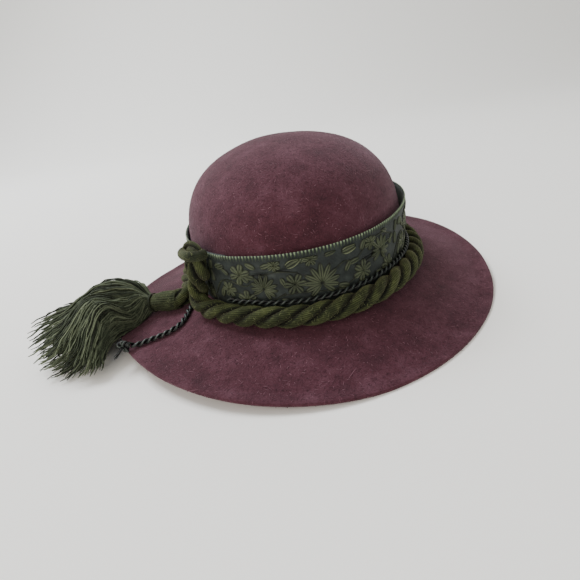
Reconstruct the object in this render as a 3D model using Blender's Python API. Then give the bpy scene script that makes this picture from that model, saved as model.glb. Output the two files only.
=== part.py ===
# Tyrolean felt hat with a jacquard band, a twisted rope, its knot and tassel, and a thin cord.
# Metres, +Z up. The crown's axis is vertical, the wearer's front-back line runs along Y,
# and the knot and tassel are on the -X side.
from math import atan2, cos, degrees, pi, radians, sin, sqrt

import bmesh
import bpy
from mathutils import Vector

# Felt body
CROWN_WIDTH = 0.1750        # outside, across the wearer's head, at the crown's base
CROWN_LENGTH = 0.2030       # outside, front to back
CROWN_HEIGHT = 0.1077       # above the crown's base
CROWN_FLATTEN = 3.84        # how late the wall turns over into the dome
CROWN_ROUND = 1.94          # how round the dome is
CROWN_SWELL = 0.04          # the wall leans out by this share over the full height
CROWN_LEAN = 0.0016         # the crown's top leans this far to the knot's side
CROWN_FILLET = 0.0040       # the bend between crown and brim
FELT = 0.0025               # felt thickness
BRIM_WIDTH = 0.0704         # from the crown's wall to the cut edge
BRIM_RISE = 0.0217          # how far the brim's underside drops from the crown to its lowest edge
BRIM_CURL = 1.1             # 1 is a straight brim, more levels it out near the edge
EDGE_LIFT = 0.0106          # how far the edge's two high stretches stand above its two low ones
EDGE_FLAT = 0.70            # how much of the edge lies flat on the surface
EDGE_TURN = radians(126)    # where one low stretch is centred
REST_STRIP = 0.0090         # level strip along the edge, which lies on the surface
BRIM_ROWS = 4
CROWN_ROWS = 9
TURN_STEPS = 60             # facets round the hat

# Jacquard band
BAND_WIDTH = 0.0420
BAND_TILT = 0.0025          # the band sits this far lower at the knot and higher opposite it
BAND_HIGH = radians(30)     # where it sits highest
BAND_THICKNESS = 0.0010
BAND_FLARE = 0.0018         # how far its top edge stands off the crown
BAND_OVERLAP_START = radians(228)
BAND_OVERLAP = radians(12)

# Twisted rope
ROPE_RADIUS = 0.0076
ROPE_LAY = 0.0500           # length in which one strand goes once round
ROPE_STRANDS = 3
ROPE_GROOVE = 0.13          # depth of the groove between two strands, as a share of the radius
ROPE_STEP = radians(4.0)
ROPE_START = radians(237)
ROPE_END = radians(563)
ROPE_BEND = 0.0094          # bend radius where its end turns out to the tassel
TASSEL_HEADING = radians(154)

# Knot
KNOT_RADIUS = 0.0074
WRAP_RADIUS = 0.0046
KNOT_POINTS = 33
WRAP_POINTS = 16

# Tassel
NECK_RADIUS = 0.0080
NECK_LENGTH = 0.0210
WAIST_SHARE = 0.80          # radius under the binding, as a share of the neck's
BINDING_WIRE = 0.0009
BINDING_SEAT = 0.965        # where the binding sits, as a share of the neck's length
SKIRT_LENGTH = 0.1050
SKIRT_PUFF = 0.0310         # thickness of the skirt where it stands fullest
SKIRT_FULLEST = 0.34        # where that is, as a share of its length
SKIRT_TIP = 0.0075          # thickness at the strand ends
SKIRT_LOFT = 0.0175         # how much fuller the far strands stand at their ends
SKIRT_DROOP = 0.0200        # the strands reach the surface this far past where they leave the brim
SKIRT_OVERHANG = 0.0060     # how far they run level past the brim's edge
SKIRT_LOCKS = 12
LOCK_FACETS = 3
LOCK_RELIEF = 0.16          # height of a lock over the valley beside it, as a share
LOCK_UNEVEN = 0.07          # how much shorter the valleys between locks end, as a share

# Thin cord
CORD_RADIUS = 0.0020
CORD_START = radians(238)
CORD_END = radians(562)
CORD_STEPS = 52
END_KNOT_RADIUS = 0.0044
END_TUFT = 0.0110
TAIL_STEPS = 26
TUFT_DIRECTION = (-0.35, -1.0, -0.30)

CLEARANCE = 0.0003          # between touching pieces

# Width of the cut brim: turn in degrees, share of the brim's width
EDGE_CUT = (
    (0, 1.0), (90, 1.0), (125, 1.0), (160, 1.04), (200, 1.04), (245, 1.0),
    (270, 0.985), (312, 0.965), (345, 0.99), (360, 1.0),
)

# Paths of the knot's strands: turn in degrees, stand-off in knot radii, height as a share of the band
KNOT_RISER = (
    (225.2, 1.62, 0.030), (221.8, 1.50, 0.180), (222.4, 1.35, 0.380), (225.2, 1.22, 0.560),
    (228.0, 1.20, 0.740), (229.0, 1.16, 0.920), (227.8, 1.00, 1.060), (224.0, 0.85, 1.120),
    (219.8, 0.78, 1.060), (217.6, 0.78, 0.920), (217.2, 0.82, 0.760), (217.2, 0.84, 0.600),
    (217.2, 0.86, 0.460),
)
KNOT_THICKNESS = (1.0, 1.0, 1.03, 0.97, 1.03, 0.95, 0.82, 0.68, 0.66, 0.68, 0.70, 0.72, 0.74)
KNOT_WRAP = (
    (233.2, 0.85, 0.980), (232.6, 1.55, 0.990), (229.0, 2.10, 1.000), (223.8, 2.10, 0.985),
    (219.2, 1.75, 0.950), (215.8, 1.15, 0.925), (215.4, 0.68, 0.940),
)

# Free end of the thin cord on the brim: turn in degrees, distance out from the crown as a share of the brim
CORD_TAIL = (
    (214.7, 0.274), (217.4, 0.341), (219.6, 0.445), (219.7, 0.546), (218.7, 0.651),
    (217.4, 0.750), (216.3, 0.849), (215.6, 0.937), (215.3, 1.015),
)

# The skirt's strands from its lower side to its upper side, as shares of the skirt's length:
# how far out to the side and towards the front each one runs, from the binding to its tip
SKIRT_GUIDES = (
    ((0.00, 0.00), (-0.11, -0.15), (-0.22, -0.26), (-0.25, -0.45), (-0.24, -0.64)),
    ((0.00, 0.00), (-0.15, -0.05), (-0.30, -0.18), (-0.38, -0.41), (-0.42, -0.65)),
    ((0.00, 0.00), (-0.20, 0.02), (-0.44, -0.03), (-0.64, -0.22), (-0.76, -0.50)),
    ((0.00, 0.00), (-0.19, 0.15), (-0.46, 0.22), (-0.76, 0.12), (-0.96, -0.12)),
    ((0.00, 0.00), (-0.14, 0.24), (-0.35, 0.46), (-0.63, 0.56), (-0.91, 0.55)),
)

# Radius of the tassel's neck along its length, as shares, and the sections of the skirt
NECK_SHAPE = ((0.0, 0.86), (0.12, 0.97), (0.5, 1.02), (0.8, 0.90), (0.93, WAIST_SHARE), (1.0, WAIST_SHARE))
SKIRT_RUNS = (0.05, 0.12, 0.22, 0.34, 0.48, 0.62, 0.76, 0.89, 1.0)

COLLECTION = "tyrolean_hat"
FELT_TOP = BRIM_RISE + FELT


def clear_scene():
    for old in list(bpy.data.objects):
        bpy.data.objects.remove(old, do_unlink=True)


def material(name, colour, roughness):
    made = bpy.data.materials.new(name)
    made.use_nodes = True
    shader = made.node_tree.nodes["Principled BSDF"]
    shader.inputs["Base Color"].default_value = (*colour, 1.0)
    shader.inputs["Roughness"].default_value = roughness
    shader.inputs["Metallic"].default_value = 0.0
    return made


def place(name, data, look, collection):
    made = bpy.data.objects.new(name, data)
    collection.objects.link(made)
    data.materials.append(look)
    return made


def smooth(share):
    share = min(max(share, 0.0), 1.0)
    return share * share * (3 - 2 * share)


def along(points, share):
    """A point of the smooth curve through the given points, at a share of its run."""
    spans = len(points) - 1
    place_on = min(max(share, 0.0), 1.0) * spans
    i = min(int(place_on), spans - 1)
    t = place_on - i
    p1, p2 = points[i], points[i + 1]
    p0 = points[i - 1] if i > 0 else p1 * 2 - p2
    p3 = points[i + 2] if i + 2 <= spans else p2 * 2 - p1
    return 0.5 * (
        p1 * 2 + (p2 - p0) * t + (p0 * 2 - p1 * 5 + p2 * 4 - p3) * t ** 2
        + (p1 * 3 - p0 - p2 * 3 + p3) * t ** 3
    )


def smooth_path(points, count):
    return [along(points, i / (count - 1)) for i in range(count)]


# Shape of the felt: an oval crown whose brim rises and falls round its edge

def oval(turn):
    across = cos(turn) / (CROWN_WIDTH / 2)
    lengthwise = sin(turn) / (CROWN_LENGTH / 2)
    return 1 / sqrt(across ** 2 + lengthwise ** 2)


def crown_taper(share):
    """Radius of the crown at a share of its height, as a share of its base."""
    dome = max(0.0, 1 - share ** CROWN_FLATTEN) ** (1 / CROWN_ROUND)
    return dome * (1 + CROWN_SWELL * share)


def brim_width(turn):
    """Width of the brim at a turn, from the cuts round its edge."""
    degree = degrees(turn) % 360
    for (start, before), (end, after) in zip(EDGE_CUT, EDGE_CUT[1:]):
        if start <= degree <= end:
            return BRIM_WIDTH * (before + (after - before) * smooth((degree - start) / (end - start)))
    return BRIM_WIDTH


def edge_lift(turn):
    wave = cos(2 * (turn - EDGE_TURN - pi / 2))
    return EDGE_LIFT * max(0.0, (wave + EDGE_FLAT) / (1 + EDGE_FLAT))


def brim_under(turn, out):
    """Height of the brim's underside at a distance out from the crown's wall."""
    share = min(max(out / (brim_width(turn) - REST_STRIP), 0.0), 1.0)
    return BRIM_RISE * (1 - share) ** BRIM_CURL + edge_lift(turn) * share


def brim_top(turn, out):
    return brim_under(turn, out) + FELT


def crown_lean(height):
    share = max(0.0, (height - FELT_TOP) / CROWN_HEIGHT)
    return CROWN_LEAN * share ** 2


def felt_section(turn):
    """Radius and height of each point of one cut through the felt, from the top round to the inside."""
    wall = oval(turn)
    section = [(0.0, FELT_TOP + CROWN_HEIGHT)]
    shares = []
    for i in range(1, CROWN_ROWS):
        rise = sin(pi / 2 * (1 - i / CROWN_ROWS)) ** (2 / CROWN_FLATTEN)
        shares.append(rise)
    for share in shares:
        section.append((wall * crown_taper(share), FELT_TOP + CROWN_HEIGHT * share))
    for step in range(3):
        bend = pi / 2 * step / 2
        out = CROWN_FILLET * (1 - cos(bend))
        up = CROWN_FILLET * (1 - sin(bend))
        section.append((wall + out, brim_top(turn, out) + up))
    width = brim_width(turn)
    outs = [(width - REST_STRIP) * i / BRIM_ROWS for i in range(1, BRIM_ROWS + 1)]
    outs.append(width)
    for out in outs:
        section.append((wall + out, brim_top(turn, out)))
    for out in reversed(outs):
        section.append((wall + out, brim_under(turn, out)))
    section.append((wall - FELT * 0.4, brim_under(turn, 0) + FELT * 0.2))
    section.append((wall - FELT, FELT_TOP + CROWN_FILLET))
    for share in reversed(shares):
        section.append(((wall - FELT) * crown_taper(share), FELT_TOP + (CROWN_HEIGHT - FELT) * share))
    section.append((0.0, FELT_TOP + CROWN_HEIGHT - FELT))
    return section


def make_felt(collection, look):
    grid = []
    mesh = bmesh.new()
    top = bottom = None
    for i in range(TURN_STEPS):
        turn = 2 * pi * i / TURN_STEPS
        section = felt_section(turn)
        if i == 0:
            top = mesh.verts.new((-crown_lean(section[0][1]), 0, section[0][1]))
            bottom = mesh.verts.new((-crown_lean(section[-1][1]), 0, section[-1][1]))
        grid.append([
            mesh.verts.new((r * cos(turn) - crown_lean(z), r * sin(turn), z)) for r, z in section[1:-1]
        ])
    for i in range(TURN_STEPS):
        here, after = grid[i], grid[(i + 1) % TURN_STEPS]
        mesh.faces.new((top, here[0], after[0]))
        for j in range(len(here) - 1):
            mesh.faces.new((here[j], here[j + 1], after[j + 1], after[j]))
        mesh.faces.new((bottom, after[-1], here[-1]))
    return finish_mesh(mesh, "felt_body", collection, look, 50)


def finish_mesh(mesh, name, collection, look, sharp_angle):
    bmesh.ops.recalc_face_normals(mesh, faces=mesh.faces)
    data = bpy.data.meshes.new(name)
    mesh.to_mesh(data)
    mesh.free()
    data.shade_smooth()
    data.set_sharp_from_angle(angle=radians(sharp_angle))
    return place(name, data, look, collection)


# Band: one strip wound round the crown, its end lapped over its start

def band_lap(turn):
    """How far the outer layer of the lap stands off the inner one at this turn."""
    past = turn - BAND_OVERLAP_START - BAND_OVERLAP
    return (BAND_THICKNESS + CLEARANCE * 1.3) * (1 - smooth(past / BAND_OVERLAP))


def band_radius(turn, share):
    """Inner radius of the band at a share of its width, without the lap."""
    height = CROWN_FILLET + BAND_WIDTH * share
    wall = oval(turn) * max(1.0, crown_taper(height / CROWN_HEIGHT))
    return wall + CLEARANCE + BAND_FLARE * share ** 1.6


def band_height(turn, share):
    tilt = BAND_TILT * (1 + cos(turn - BAND_HIGH))
    return FELT_TOP + CROWN_FILLET + tilt + BAND_WIDTH * share


def band_outside(turn, share):
    """Outer radius of the band, lap included, at any turn."""
    start = BAND_OVERLAP_START
    while turn < start:
        turn += 2 * pi
    while turn >= start + 2 * pi:
        turn -= 2 * pi
    return band_radius(turn, share) + band_lap(turn) + BAND_THICKNESS


def make_band(collection, look):
    step = 2 * pi / TURN_STEPS
    count = round((2 * pi + BAND_OVERLAP) / step)
    shares = (0.0, 0.35, 0.7, 1.0)
    mesh = bmesh.new()
    rings = []
    for i in range(count + 1):
        turn = BAND_OVERLAP_START + i * step
        lap = band_lap(turn)
        inside = [(band_radius(turn, s) + lap, band_height(turn, s)) for s in shares]
        loop = [(r + BAND_THICKNESS, z) for r, z in inside] + inside[::-1]
        rings.append([mesh.verts.new((r * cos(turn), r * sin(turn), z)) for r, z in loop])
    for here, after in zip(rings, rings[1:]):
        for j in range(len(here)):
            k = (j + 1) % len(here)
            mesh.faces.new((here[j], here[k], after[k], after[j]))
    mesh.faces.new(rings[0])
    mesh.faces.new(reversed(rings[-1]))
    return finish_mesh(mesh, "floral_band", collection, look, 40)


# Rope and cord: round pieces seated on the brim and against the band

def seat_height(turn, out, radius):
    """Height of a round piece's centre when it just rests on the brim there."""
    reach = radius + CLEARANCE
    best = 0.0
    for i in range(-8, 9):
        side = reach * i / 8
        here = max(out + side, 0.0)
        fillet = max(0.0, CROWN_FILLET - here)
        best = max(best, brim_top(turn, here) + fillet + sqrt(reach ** 2 - side ** 2))
    return best


def around(turn, radius, height):
    return Vector((radius * cos(turn), radius * sin(turn), height))


def rope_out(turn):
    """Distance of the rope's centre from the crown's wall."""
    return band_outside(turn, 0.35) - oval(turn) + CLEARANCE + ROPE_RADIUS


def rope_centre(turn):
    out = rope_out(turn)
    return around(turn, oval(turn) + out, seat_height(turn, out, ROPE_RADIUS))


def rope_path():
    """The ring round the crown, then the bend that turns its end out to the tassel."""
    count = round((ROPE_END - ROPE_START) / ROPE_STEP)
    ring = [rope_centre(ROPE_START + (ROPE_END - ROPE_START) * i / count) for i in range(count + 1)]
    ahead = ring[-1] - ring[-2]
    heading = atan2(ahead.y, ahead.x)
    bend = (heading - TASSEL_HEADING) % (2 * pi)
    centre = ring[-1] + Vector((sin(heading), -cos(heading), 0)) * ROPE_BEND
    steps = 9
    turned = []
    for i in range(1, steps + 1):
        now = heading - bend * i / steps
        at = centre + Vector((-sin(now), cos(now), 0)) * ROPE_BEND
        turn, out = polar(at.x, at.y)
        rest = seat_height(turn, out, ROPE_RADIUS)
        at.z = ring[-1].z + (rest - ring[-1].z) * smooth(i / steps)
        turned.append(at)
    return ring + turned


def polar(x, y):
    """Turn of a place, and its distance out from the crown's wall."""
    turn = atan2(y, x)
    return turn, sqrt(x * x + y * y) - oval(turn)


def poly_curve(name, points, radius, resolution, collection, cyclic=False):
    data = bpy.data.curves.new(name, "CURVE")
    data.dimensions = "3D"
    data.bevel_depth = radius
    data.bevel_resolution = resolution
    data.use_fill_caps = True
    spline = data.splines.new("POLY")
    spline.points.add(len(points) - 1)
    for point, at in zip(spline.points, points):
        point.co = (*at, 1.0)
    spline.use_cyclic_u = cyclic
    made = bpy.data.objects.new(name, data)
    collection.objects.link(made)
    return made


def rope_profile(guides):
    """Outline of the rope's strands, seen end on."""
    data = bpy.data.curves.new("rope_outline", "CURVE")
    data.dimensions = "2D"
    spline = data.splines.new("POLY")
    count = ROPE_STRANDS * 4
    spline.points.add(count - 1)
    for i, point in enumerate(spline.points):
        turn = 2 * pi * i / count
        lobe = 1 - ROPE_GROOVE * (0.5 - 0.5 * cos(ROPE_STRANDS * turn))
        point.co = (ROPE_RADIUS * lobe * cos(turn), ROPE_RADIUS * lobe * sin(turn), 0.0, 1.0)
    spline.use_cyclic_u = True
    made = bpy.data.objects.new("rope_outline", data)
    made.hide_render = True
    made.display_type = "WIRE"
    guides.objects.link(made)
    return made


def as_mesh(made, name, look, collection):
    """The curve's evaluated shape as a welded mesh object, in its place."""
    depsgraph = bpy.context.evaluated_depsgraph_get()
    data = bpy.data.meshes.new_from_object(made.evaluated_get(depsgraph))
    mesh = bmesh.new()
    mesh.from_mesh(data)
    bmesh.ops.remove_doubles(mesh, verts=mesh.verts, dist=0.00001)
    bmesh.ops.recalc_face_normals(mesh, faces=mesh.faces)
    mesh.to_mesh(data)
    mesh.free()
    data.materials.clear()
    data.name = name
    result = place(name, data, look, collection)
    result.matrix_world = made.matrix_world.copy()
    bpy.data.objects.remove(made, do_unlink=True)
    data.shade_smooth()
    data.set_sharp_from_angle(angle=radians(60))
    return result


def make_rope(path, collection, guides, look):
    curve = poly_curve("rope_run", path, 0.0, 0, guides)
    curve.data.bevel_mode = "OBJECT"
    curve.data.bevel_object = rope_profile(guides)
    length = 0.0
    for i, point in enumerate(curve.data.splines[0].points):
        if i:
            length += (path[i] - path[i - 1]).length
        point.tilt = 2 * pi * length / ROPE_LAY
    bpy.context.view_layer.update()
    return as_mesh(curve, "twisted_rope", look, collection)


# Knot: one strand that rises over the band, turns over and comes down, and one that wraps it

def knot_point(degree, stand_off, height):
    turn = radians(degree)
    share = min(max(height, 0.0), 1.0)
    radius = band_outside(turn, share) + CLEARANCE + stand_off * KNOT_RADIUS
    return around(turn, radius, band_height(turn, height))


def make_knot(path, collection, guides, look):
    back = (path[0] - path[1]).normalized()
    start = path[0] + back * CLEARANCE
    lead = start + back * KNOT_RADIUS * 0.3
    riser = [lead, start + back * KNOT_RADIUS] + [knot_point(*row) for row in KNOT_RISER]
    thick = [Vector((1.0, 0, 0))] * 2 + [Vector((t, 0, 0)) for t in KNOT_THICKNESS]
    wrap = [knot_point(*row) for row in KNOT_WRAP]
    strand = poly_curve("riser", [start] + smooth_path(riser, KNOT_POINTS), KNOT_RADIUS, 3, guides)
    for i, point in enumerate(strand.data.splines[0].points):
        point.radius = along(thick, i / KNOT_POINTS).x
    bpy.context.view_layer.update()
    main = as_mesh(strand, "rope_knot", look, collection)
    band = as_mesh(
        poly_curve("wrap", smooth_path(wrap, WRAP_POINTS), WRAP_RADIUS, 3, guides),
        "knot_wrap_form", look, guides,
    )
    band.hide_render = True
    band.display_type = "WIRE"
    join = main.modifiers.new("wrap", "BOOLEAN")
    join.operation = "UNION"
    join.solver = "EXACT"
    join.use_self = True
    join.object = band
    return main


# Tassel: a round neck, a tied waist, and a skirt of locks that fans out over the brim's edge

def drape_height(x, y):
    """Height of what the skirt lies on: the brim, then the fall from its edge to the surface."""
    turn, out = polar(x, y)
    past = out - brim_width(turn)
    if past <= 0:
        return brim_top(turn, max(out, 0.0))
    return brim_top(turn, brim_width(turn)) * (1 - smooth((past - SKIRT_OVERHANG) / SKIRT_DROOP))


def skirt_point(across, run):
    """Place of a strand, from the binding, as shares across the skirt and along the strand."""
    rows = [Vector(along([Vector((*p, 0.0)) for p in guide], run)) for guide in SKIRT_GUIDES]
    return along(rows, across) * SKIRT_LENGTH


def tassel_frame(path):
    """Where the neck starts, its direction there, and the binding's place, from where the rope ends."""
    heading = (path[-1] - path[-2]).normalized()
    start = path[-1] + heading * CLEARANCE
    ahead = start + heading * NECK_LENGTH
    turn, out = polar(ahead.x, ahead.y)
    widest = max(NECK_RADIUS, waist_radius() + CLEARANCE + 2 * BINDING_WIRE)
    binding = Vector((ahead.x, ahead.y, seat_height(turn, out, widest)))
    return start, heading, binding


def neck_frame(heading):
    side = heading.cross(Vector((0, 0, 1))).normalized()
    return side, side.cross(heading)


def make_tassel(path, collection, look):
    start, first, binding = tassel_frame(path)
    last = (binding - start).normalized()
    count = SKIRT_LOCKS * LOCK_FACETS
    rings = []
    for run, share in NECK_SHAPE:
        centre = start.lerp(binding, run)
        side, lift = neck_frame(first.lerp(last, min(run * 2, 1.0)).normalized())
        ring = []
        for i in range(2 * count):
            turn = pi * i / count
            ring.append(centre + (side * -cos(turn) + lift * sin(turn)) * NECK_RADIUS * share)
        rings.append(ring)
    for run in SKIRT_RUNS:
        top, under = [], []
        spread = (1 - run) ** 6
        for i in range(count + 1):
            turn = pi * i / count
            across = i / count
            even = (1 - cos(turn)) / 2 * spread + across * (1 - spread)
            lock = 0.5 + 0.5 * cos(2 * pi * across * SKIRT_LOCKS + pi)
            reach = run * (1 - LOCK_UNEVEN * run * (1 - lock))
            ground = binding + skirt_point(even, reach)
            round_off = side * -cos(turn) * waist_radius() * spread
            at = ground + round_off
            base = drape_height(at.x, at.y) + CLEARANCE
            fullness = SKIRT_TIP + (skirt_fullness(run) - SKIRT_TIP) * (1 - (2 * across - 1) ** 4)
            fullness += SKIRT_LOFT * smooth(run) * smooth(across * 1.6)
            edge = (1 - abs(2 * across - 1) ** 5) ** 0.5
            relief = 1 - LOCK_RELIEF * (1 - lock) * smooth(run * 3)
            low_side = base + (binding.z - waist_radius() * sin(turn) - base) * spread
            top_side = low_side + max(fullness * edge * relief, SKIRT_TIP * 0.5)
            top.append(Vector((at.x, at.y, top_side)))
            under.append(Vector((at.x, at.y, low_side)))
        rings.append(top + [under[i] for i in range(count, -1, -1)])
    return loft_tassel(rings, count, collection, look)


def waist_radius():
    return NECK_RADIUS * WAIST_SHARE


def skirt_fullness(run):
    """Thickness of the skirt along its strands."""
    waist = 2 * waist_radius()
    if run < SKIRT_FULLEST:
        return waist + (SKIRT_PUFF - waist) * smooth(run / SKIRT_FULLEST)
    past = (run - SKIRT_FULLEST) / (1 - SKIRT_FULLEST)
    return SKIRT_PUFF + (SKIRT_TIP - SKIRT_PUFF) * past ** 1.2


def loft_tassel(rings, count, collection, look):
    mesh = bmesh.new()
    made = [[mesh.verts.new(p) for p in ring] for ring in rings]
    for here, after in zip(made, made[1:]):
        if len(here) == len(after):
            for j in range(len(here)):
                k = (j + 1) % len(here)
                mesh.faces.new((here[j], after[j], after[k], here[k]))
        else:
            joined = here[:count + 1] + [here[count]] + here[count + 1:] + [here[0]]
            for j in range(len(after)):
                k = (j + 1) % len(after)
                corners = [joined[j], after[j], after[k], joined[k]]
                kept = [v for i, v in enumerate(corners) if v not in corners[:i]]
                mesh.faces.new(kept)
    mesh.faces.new(made[0])
    last = made[-1]
    size = len(last)
    for j in range(count):
        mesh.faces.new((last[j], last[size - 1 - j], last[size - 2 - j], last[j + 1]))
    return finish_mesh(mesh, "tassel", collection, look, 60)


def make_binding(path, collection, look):
    """Thread tied round the tassel's waist."""
    start, first, binding = tassel_frame(path)
    heading = (binding - start).normalized()
    radius = waist_radius() + CLEARANCE + BINDING_WIRE
    centre = start.lerp(binding, BINDING_SEAT)
    bpy.ops.mesh.primitive_torus_add(
        major_radius=radius, minor_radius=BINDING_WIRE, major_segments=24, minor_segments=6,
        location=centre, rotation=heading.to_track_quat("Z", "Y").to_euler(),
    )
    made = bpy.context.object
    made.name = made.data.name = "tassel_binding"
    for old in list(made.users_collection):
        old.objects.unlink(made)
    collection.objects.link(made)
    made.data.materials.append(look)
    made.data.shade_smooth()
    return made


# Thin cord: a ring on the rope's inner shoulder, and a free end across the brim

def make_cord_ring(collection, look):
    points = []
    for i in range(CORD_STEPS + 1):
        turn = CORD_START + (CORD_END - CORD_START) * i / CORD_STEPS
        rope = rope_centre(turn)
        out = band_outside(turn, 0.35) + CLEARANCE + CORD_RADIUS
        beside = rope_out(turn) + oval(turn) - out
        reach = ROPE_RADIUS + CORD_RADIUS + CLEARANCE
        points.append(around(turn, out, rope.z + sqrt(reach ** 2 - beside ** 2)))
    made = poly_curve("thin_cord", points, CORD_RADIUS, 2, collection)
    made.data.materials.append(look)
    return made


def tail_points():
    points = []
    for degree, share in CORD_TAIL:
        turn = radians(degree)
        out = share * brim_width(turn)
        height = seat_height(turn, out, CORD_RADIUS)
        points.append(around(turn, oval(turn) + out, height))
    return points


def make_cord_tail(collection, guides, look):
    """The free end, and the knot tied in it at the brim's edge."""
    points = tail_points()
    knot_at = points[-1] + Vector((0, 0, END_KNOT_RADIUS - CORD_RADIUS))
    run = smooth_path(points, TAIL_STEPS)
    stop = END_KNOT_RADIUS + CLEARANCE
    kept = [p for p in run if (p - knot_at).length > stop + CORD_RADIUS]
    heading = (knot_at - kept[-1]).normalized()
    kept.append(knot_at - heading * stop)
    tail = poly_curve("thin_cord_tail", kept, CORD_RADIUS, 2, collection)
    tail.data.materials.append(look)

    bpy.ops.mesh.primitive_uv_sphere_add(
        segments=14, ring_count=10, radius=END_KNOT_RADIUS, location=knot_at
    )
    knot = bpy.context.object
    knot.name = knot.data.name = "thin_cord_end_knot"
    for old in list(knot.users_collection):
        old.objects.unlink(knot)
    collection.objects.link(knot)
    knot.data.materials.append(look)
    knot.data.shade_smooth()

    down = Vector(TUFT_DIRECTION).normalized()
    bpy.ops.mesh.primitive_cone_add(
        vertices=10, radius1=CORD_RADIUS * 0.9, radius2=CORD_RADIUS * 1.2, depth=END_TUFT,
        location=knot_at + down * (END_KNOT_RADIUS * 0.6 + END_TUFT / 2),
        rotation=down.to_track_quat("Z", "Y").to_euler(),
    )
    tuft = bpy.context.object
    tuft.name = "cord_tuft_form"
    for old in list(tuft.users_collection):
        old.objects.unlink(tuft)
    guides.objects.link(tuft)
    tuft.hide_render = True
    tuft.display_type = "WIRE"
    join = knot.modifiers.new("tuft", "BOOLEAN")
    join.operation = "UNION"
    join.solver = "EXACT"
    join.object = tuft
    return tail, knot


def stand_on_centre(parts, loose):
    """Moves every piece so that the middle of the hat's base is at the origin."""
    bpy.context.view_layer.update()
    depsgraph = bpy.context.evaluated_depsgraph_get()
    low = Vector((1e9, 1e9, 1e9))
    high = -low
    for part in parts:
        if part in loose:
            continue
        shape = part.evaluated_get(depsgraph)
        data = shape.to_mesh()
        for vert in data.vertices:
            at = part.matrix_world @ vert.co
            low = Vector(map(min, low, at))
            high = Vector(map(max, high, at))
        shape.to_mesh_clear()
    middle = Vector(((low.x + high.x) / 2, (low.y + high.y) / 2, low.z))
    for part in bpy.data.objects:
        part.location -= middle


def main():
    clear_scene()
    hat = bpy.data.collections.new(COLLECTION)
    guides = bpy.data.collections.new("forms")
    bpy.context.scene.collection.children.link(hat)
    bpy.context.scene.collection.children.link(guides)
    maroon = material("maroon_felt", (0.100, 0.028, 0.042), 0.95)
    jacquard = material("jacquard_ribbon", (0.055, 0.075, 0.055), 0.75)
    yarn = material("olive_yarn", (0.045, 0.052, 0.014), 0.90)
    dark_yarn = material("dark_olive_yarn", (0.035, 0.045, 0.020), 0.90)
    satin = material("green_black_cord", (0.016, 0.020, 0.017), 0.50)

    path = rope_path()
    parts = [
        make_felt(hat, maroon),
        make_band(hat, jacquard),
        make_rope(path, hat, guides, yarn),
        make_knot(path, hat, guides, yarn),
        make_tassel(path, hat, dark_yarn),
        make_binding(path, hat, dark_yarn),
        make_cord_ring(hat, satin),
    ]
    loose = make_cord_tail(hat, guides, satin)
    parts.extend(loose)
    stand_on_centre(parts, loose)


main()
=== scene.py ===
# Tyrolean felt hat: a maroon wool felt body, a woven jacquard band, a twisted yarn rope with its knot
# and tassel, and a thin two-ply cord with a free end. Metres, +Z up along the crown's axis.
import random
from bisect import bisect
from math import atan2, cos, degrees, exp, pi, radians, sin, sqrt

import bpy
from mathutils import Matrix, Vector, noise


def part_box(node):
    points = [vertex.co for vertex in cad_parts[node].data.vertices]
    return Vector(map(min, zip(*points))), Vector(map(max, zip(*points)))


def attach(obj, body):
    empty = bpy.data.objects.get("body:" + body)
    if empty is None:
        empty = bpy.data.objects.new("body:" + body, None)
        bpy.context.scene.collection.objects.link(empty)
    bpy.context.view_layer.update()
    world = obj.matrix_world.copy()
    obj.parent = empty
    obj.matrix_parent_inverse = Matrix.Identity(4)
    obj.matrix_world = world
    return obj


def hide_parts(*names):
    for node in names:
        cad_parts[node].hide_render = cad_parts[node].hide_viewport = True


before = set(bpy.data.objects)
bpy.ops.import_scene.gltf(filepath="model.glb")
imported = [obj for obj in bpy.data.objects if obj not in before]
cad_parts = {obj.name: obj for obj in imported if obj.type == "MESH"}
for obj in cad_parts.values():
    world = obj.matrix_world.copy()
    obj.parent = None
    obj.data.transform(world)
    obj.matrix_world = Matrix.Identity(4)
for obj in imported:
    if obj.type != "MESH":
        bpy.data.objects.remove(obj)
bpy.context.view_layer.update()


# Camera: in front of the hat, above its brim and rolled a little, as the photograph was taken.
VIEW_FROM = Vector((0.0318, -0.3635, 0.1724))
VIEW_ACROSS = Vector((0.9872, -0.0417, -0.1541))
VIEW_UP = Vector((0.1567, 0.4378, 0.8853))
VIEW_LENS = 26.99           # mm, on a sensor 36 mm wide

lens = bpy.data.cameras.new("camera")
lens.lens = VIEW_LENS
lens.sensor_width = 36
lens.clip_start = 0.01
camera = bpy.data.objects.new("camera", lens)
facing = Matrix((VIEW_ACROSS, VIEW_UP, VIEW_ACROSS.cross(VIEW_UP))).transposed().to_4x4()
camera.matrix_world = Matrix.Translation(VIEW_FROM) @ facing
bpy.context.scene.collection.objects.link(camera)
bpy.context.scene.camera = camera


# Felt body: wool felt steamed over a block into a round crown and a wide brim, with a plain cut edge.
# One skin 2.5 mm thick, soft and slightly uneven, that droops to the table at two opposite stretches.
CROWN_WIDTH = 0.1750
CROWN_LENGTH = 0.2030
CROWN_HEIGHT = 0.1077
CROWN_FLATTEN = 3.84        # power of the height in the crown's outline
CROWN_ROUND = 1.94          # power of the radius in it
CROWN_SWELL = 0.04
CROWN_LEAN = 0.0016
CROWN_FILLET = 0.0040
FELT = 0.0025
BRIM_WIDTH = 0.0704
BRIM_RISE = 0.0217
BRIM_CURL = 1.1
EDGE_LIFT = 0.0106          # how far the raised stretches of the edge stand off the table
EDGE_FLAT = 0.70
EDGE_TURN = radians(126)
REST_STRIP = 0.0090
EDGE_ROUND = 0.0007         # the cut edge's corners, worn soft
FELT_UNEVEN = 0.0005        # how far the skin wanders off its even shape
FELT_TURNS = 280
CROWN_ROWS = 46
FILLET_STEPS = 6
BRIM_ROWS = 26
INNER_STEPS = 4             # of the bend inside, between brim and crown
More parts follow.
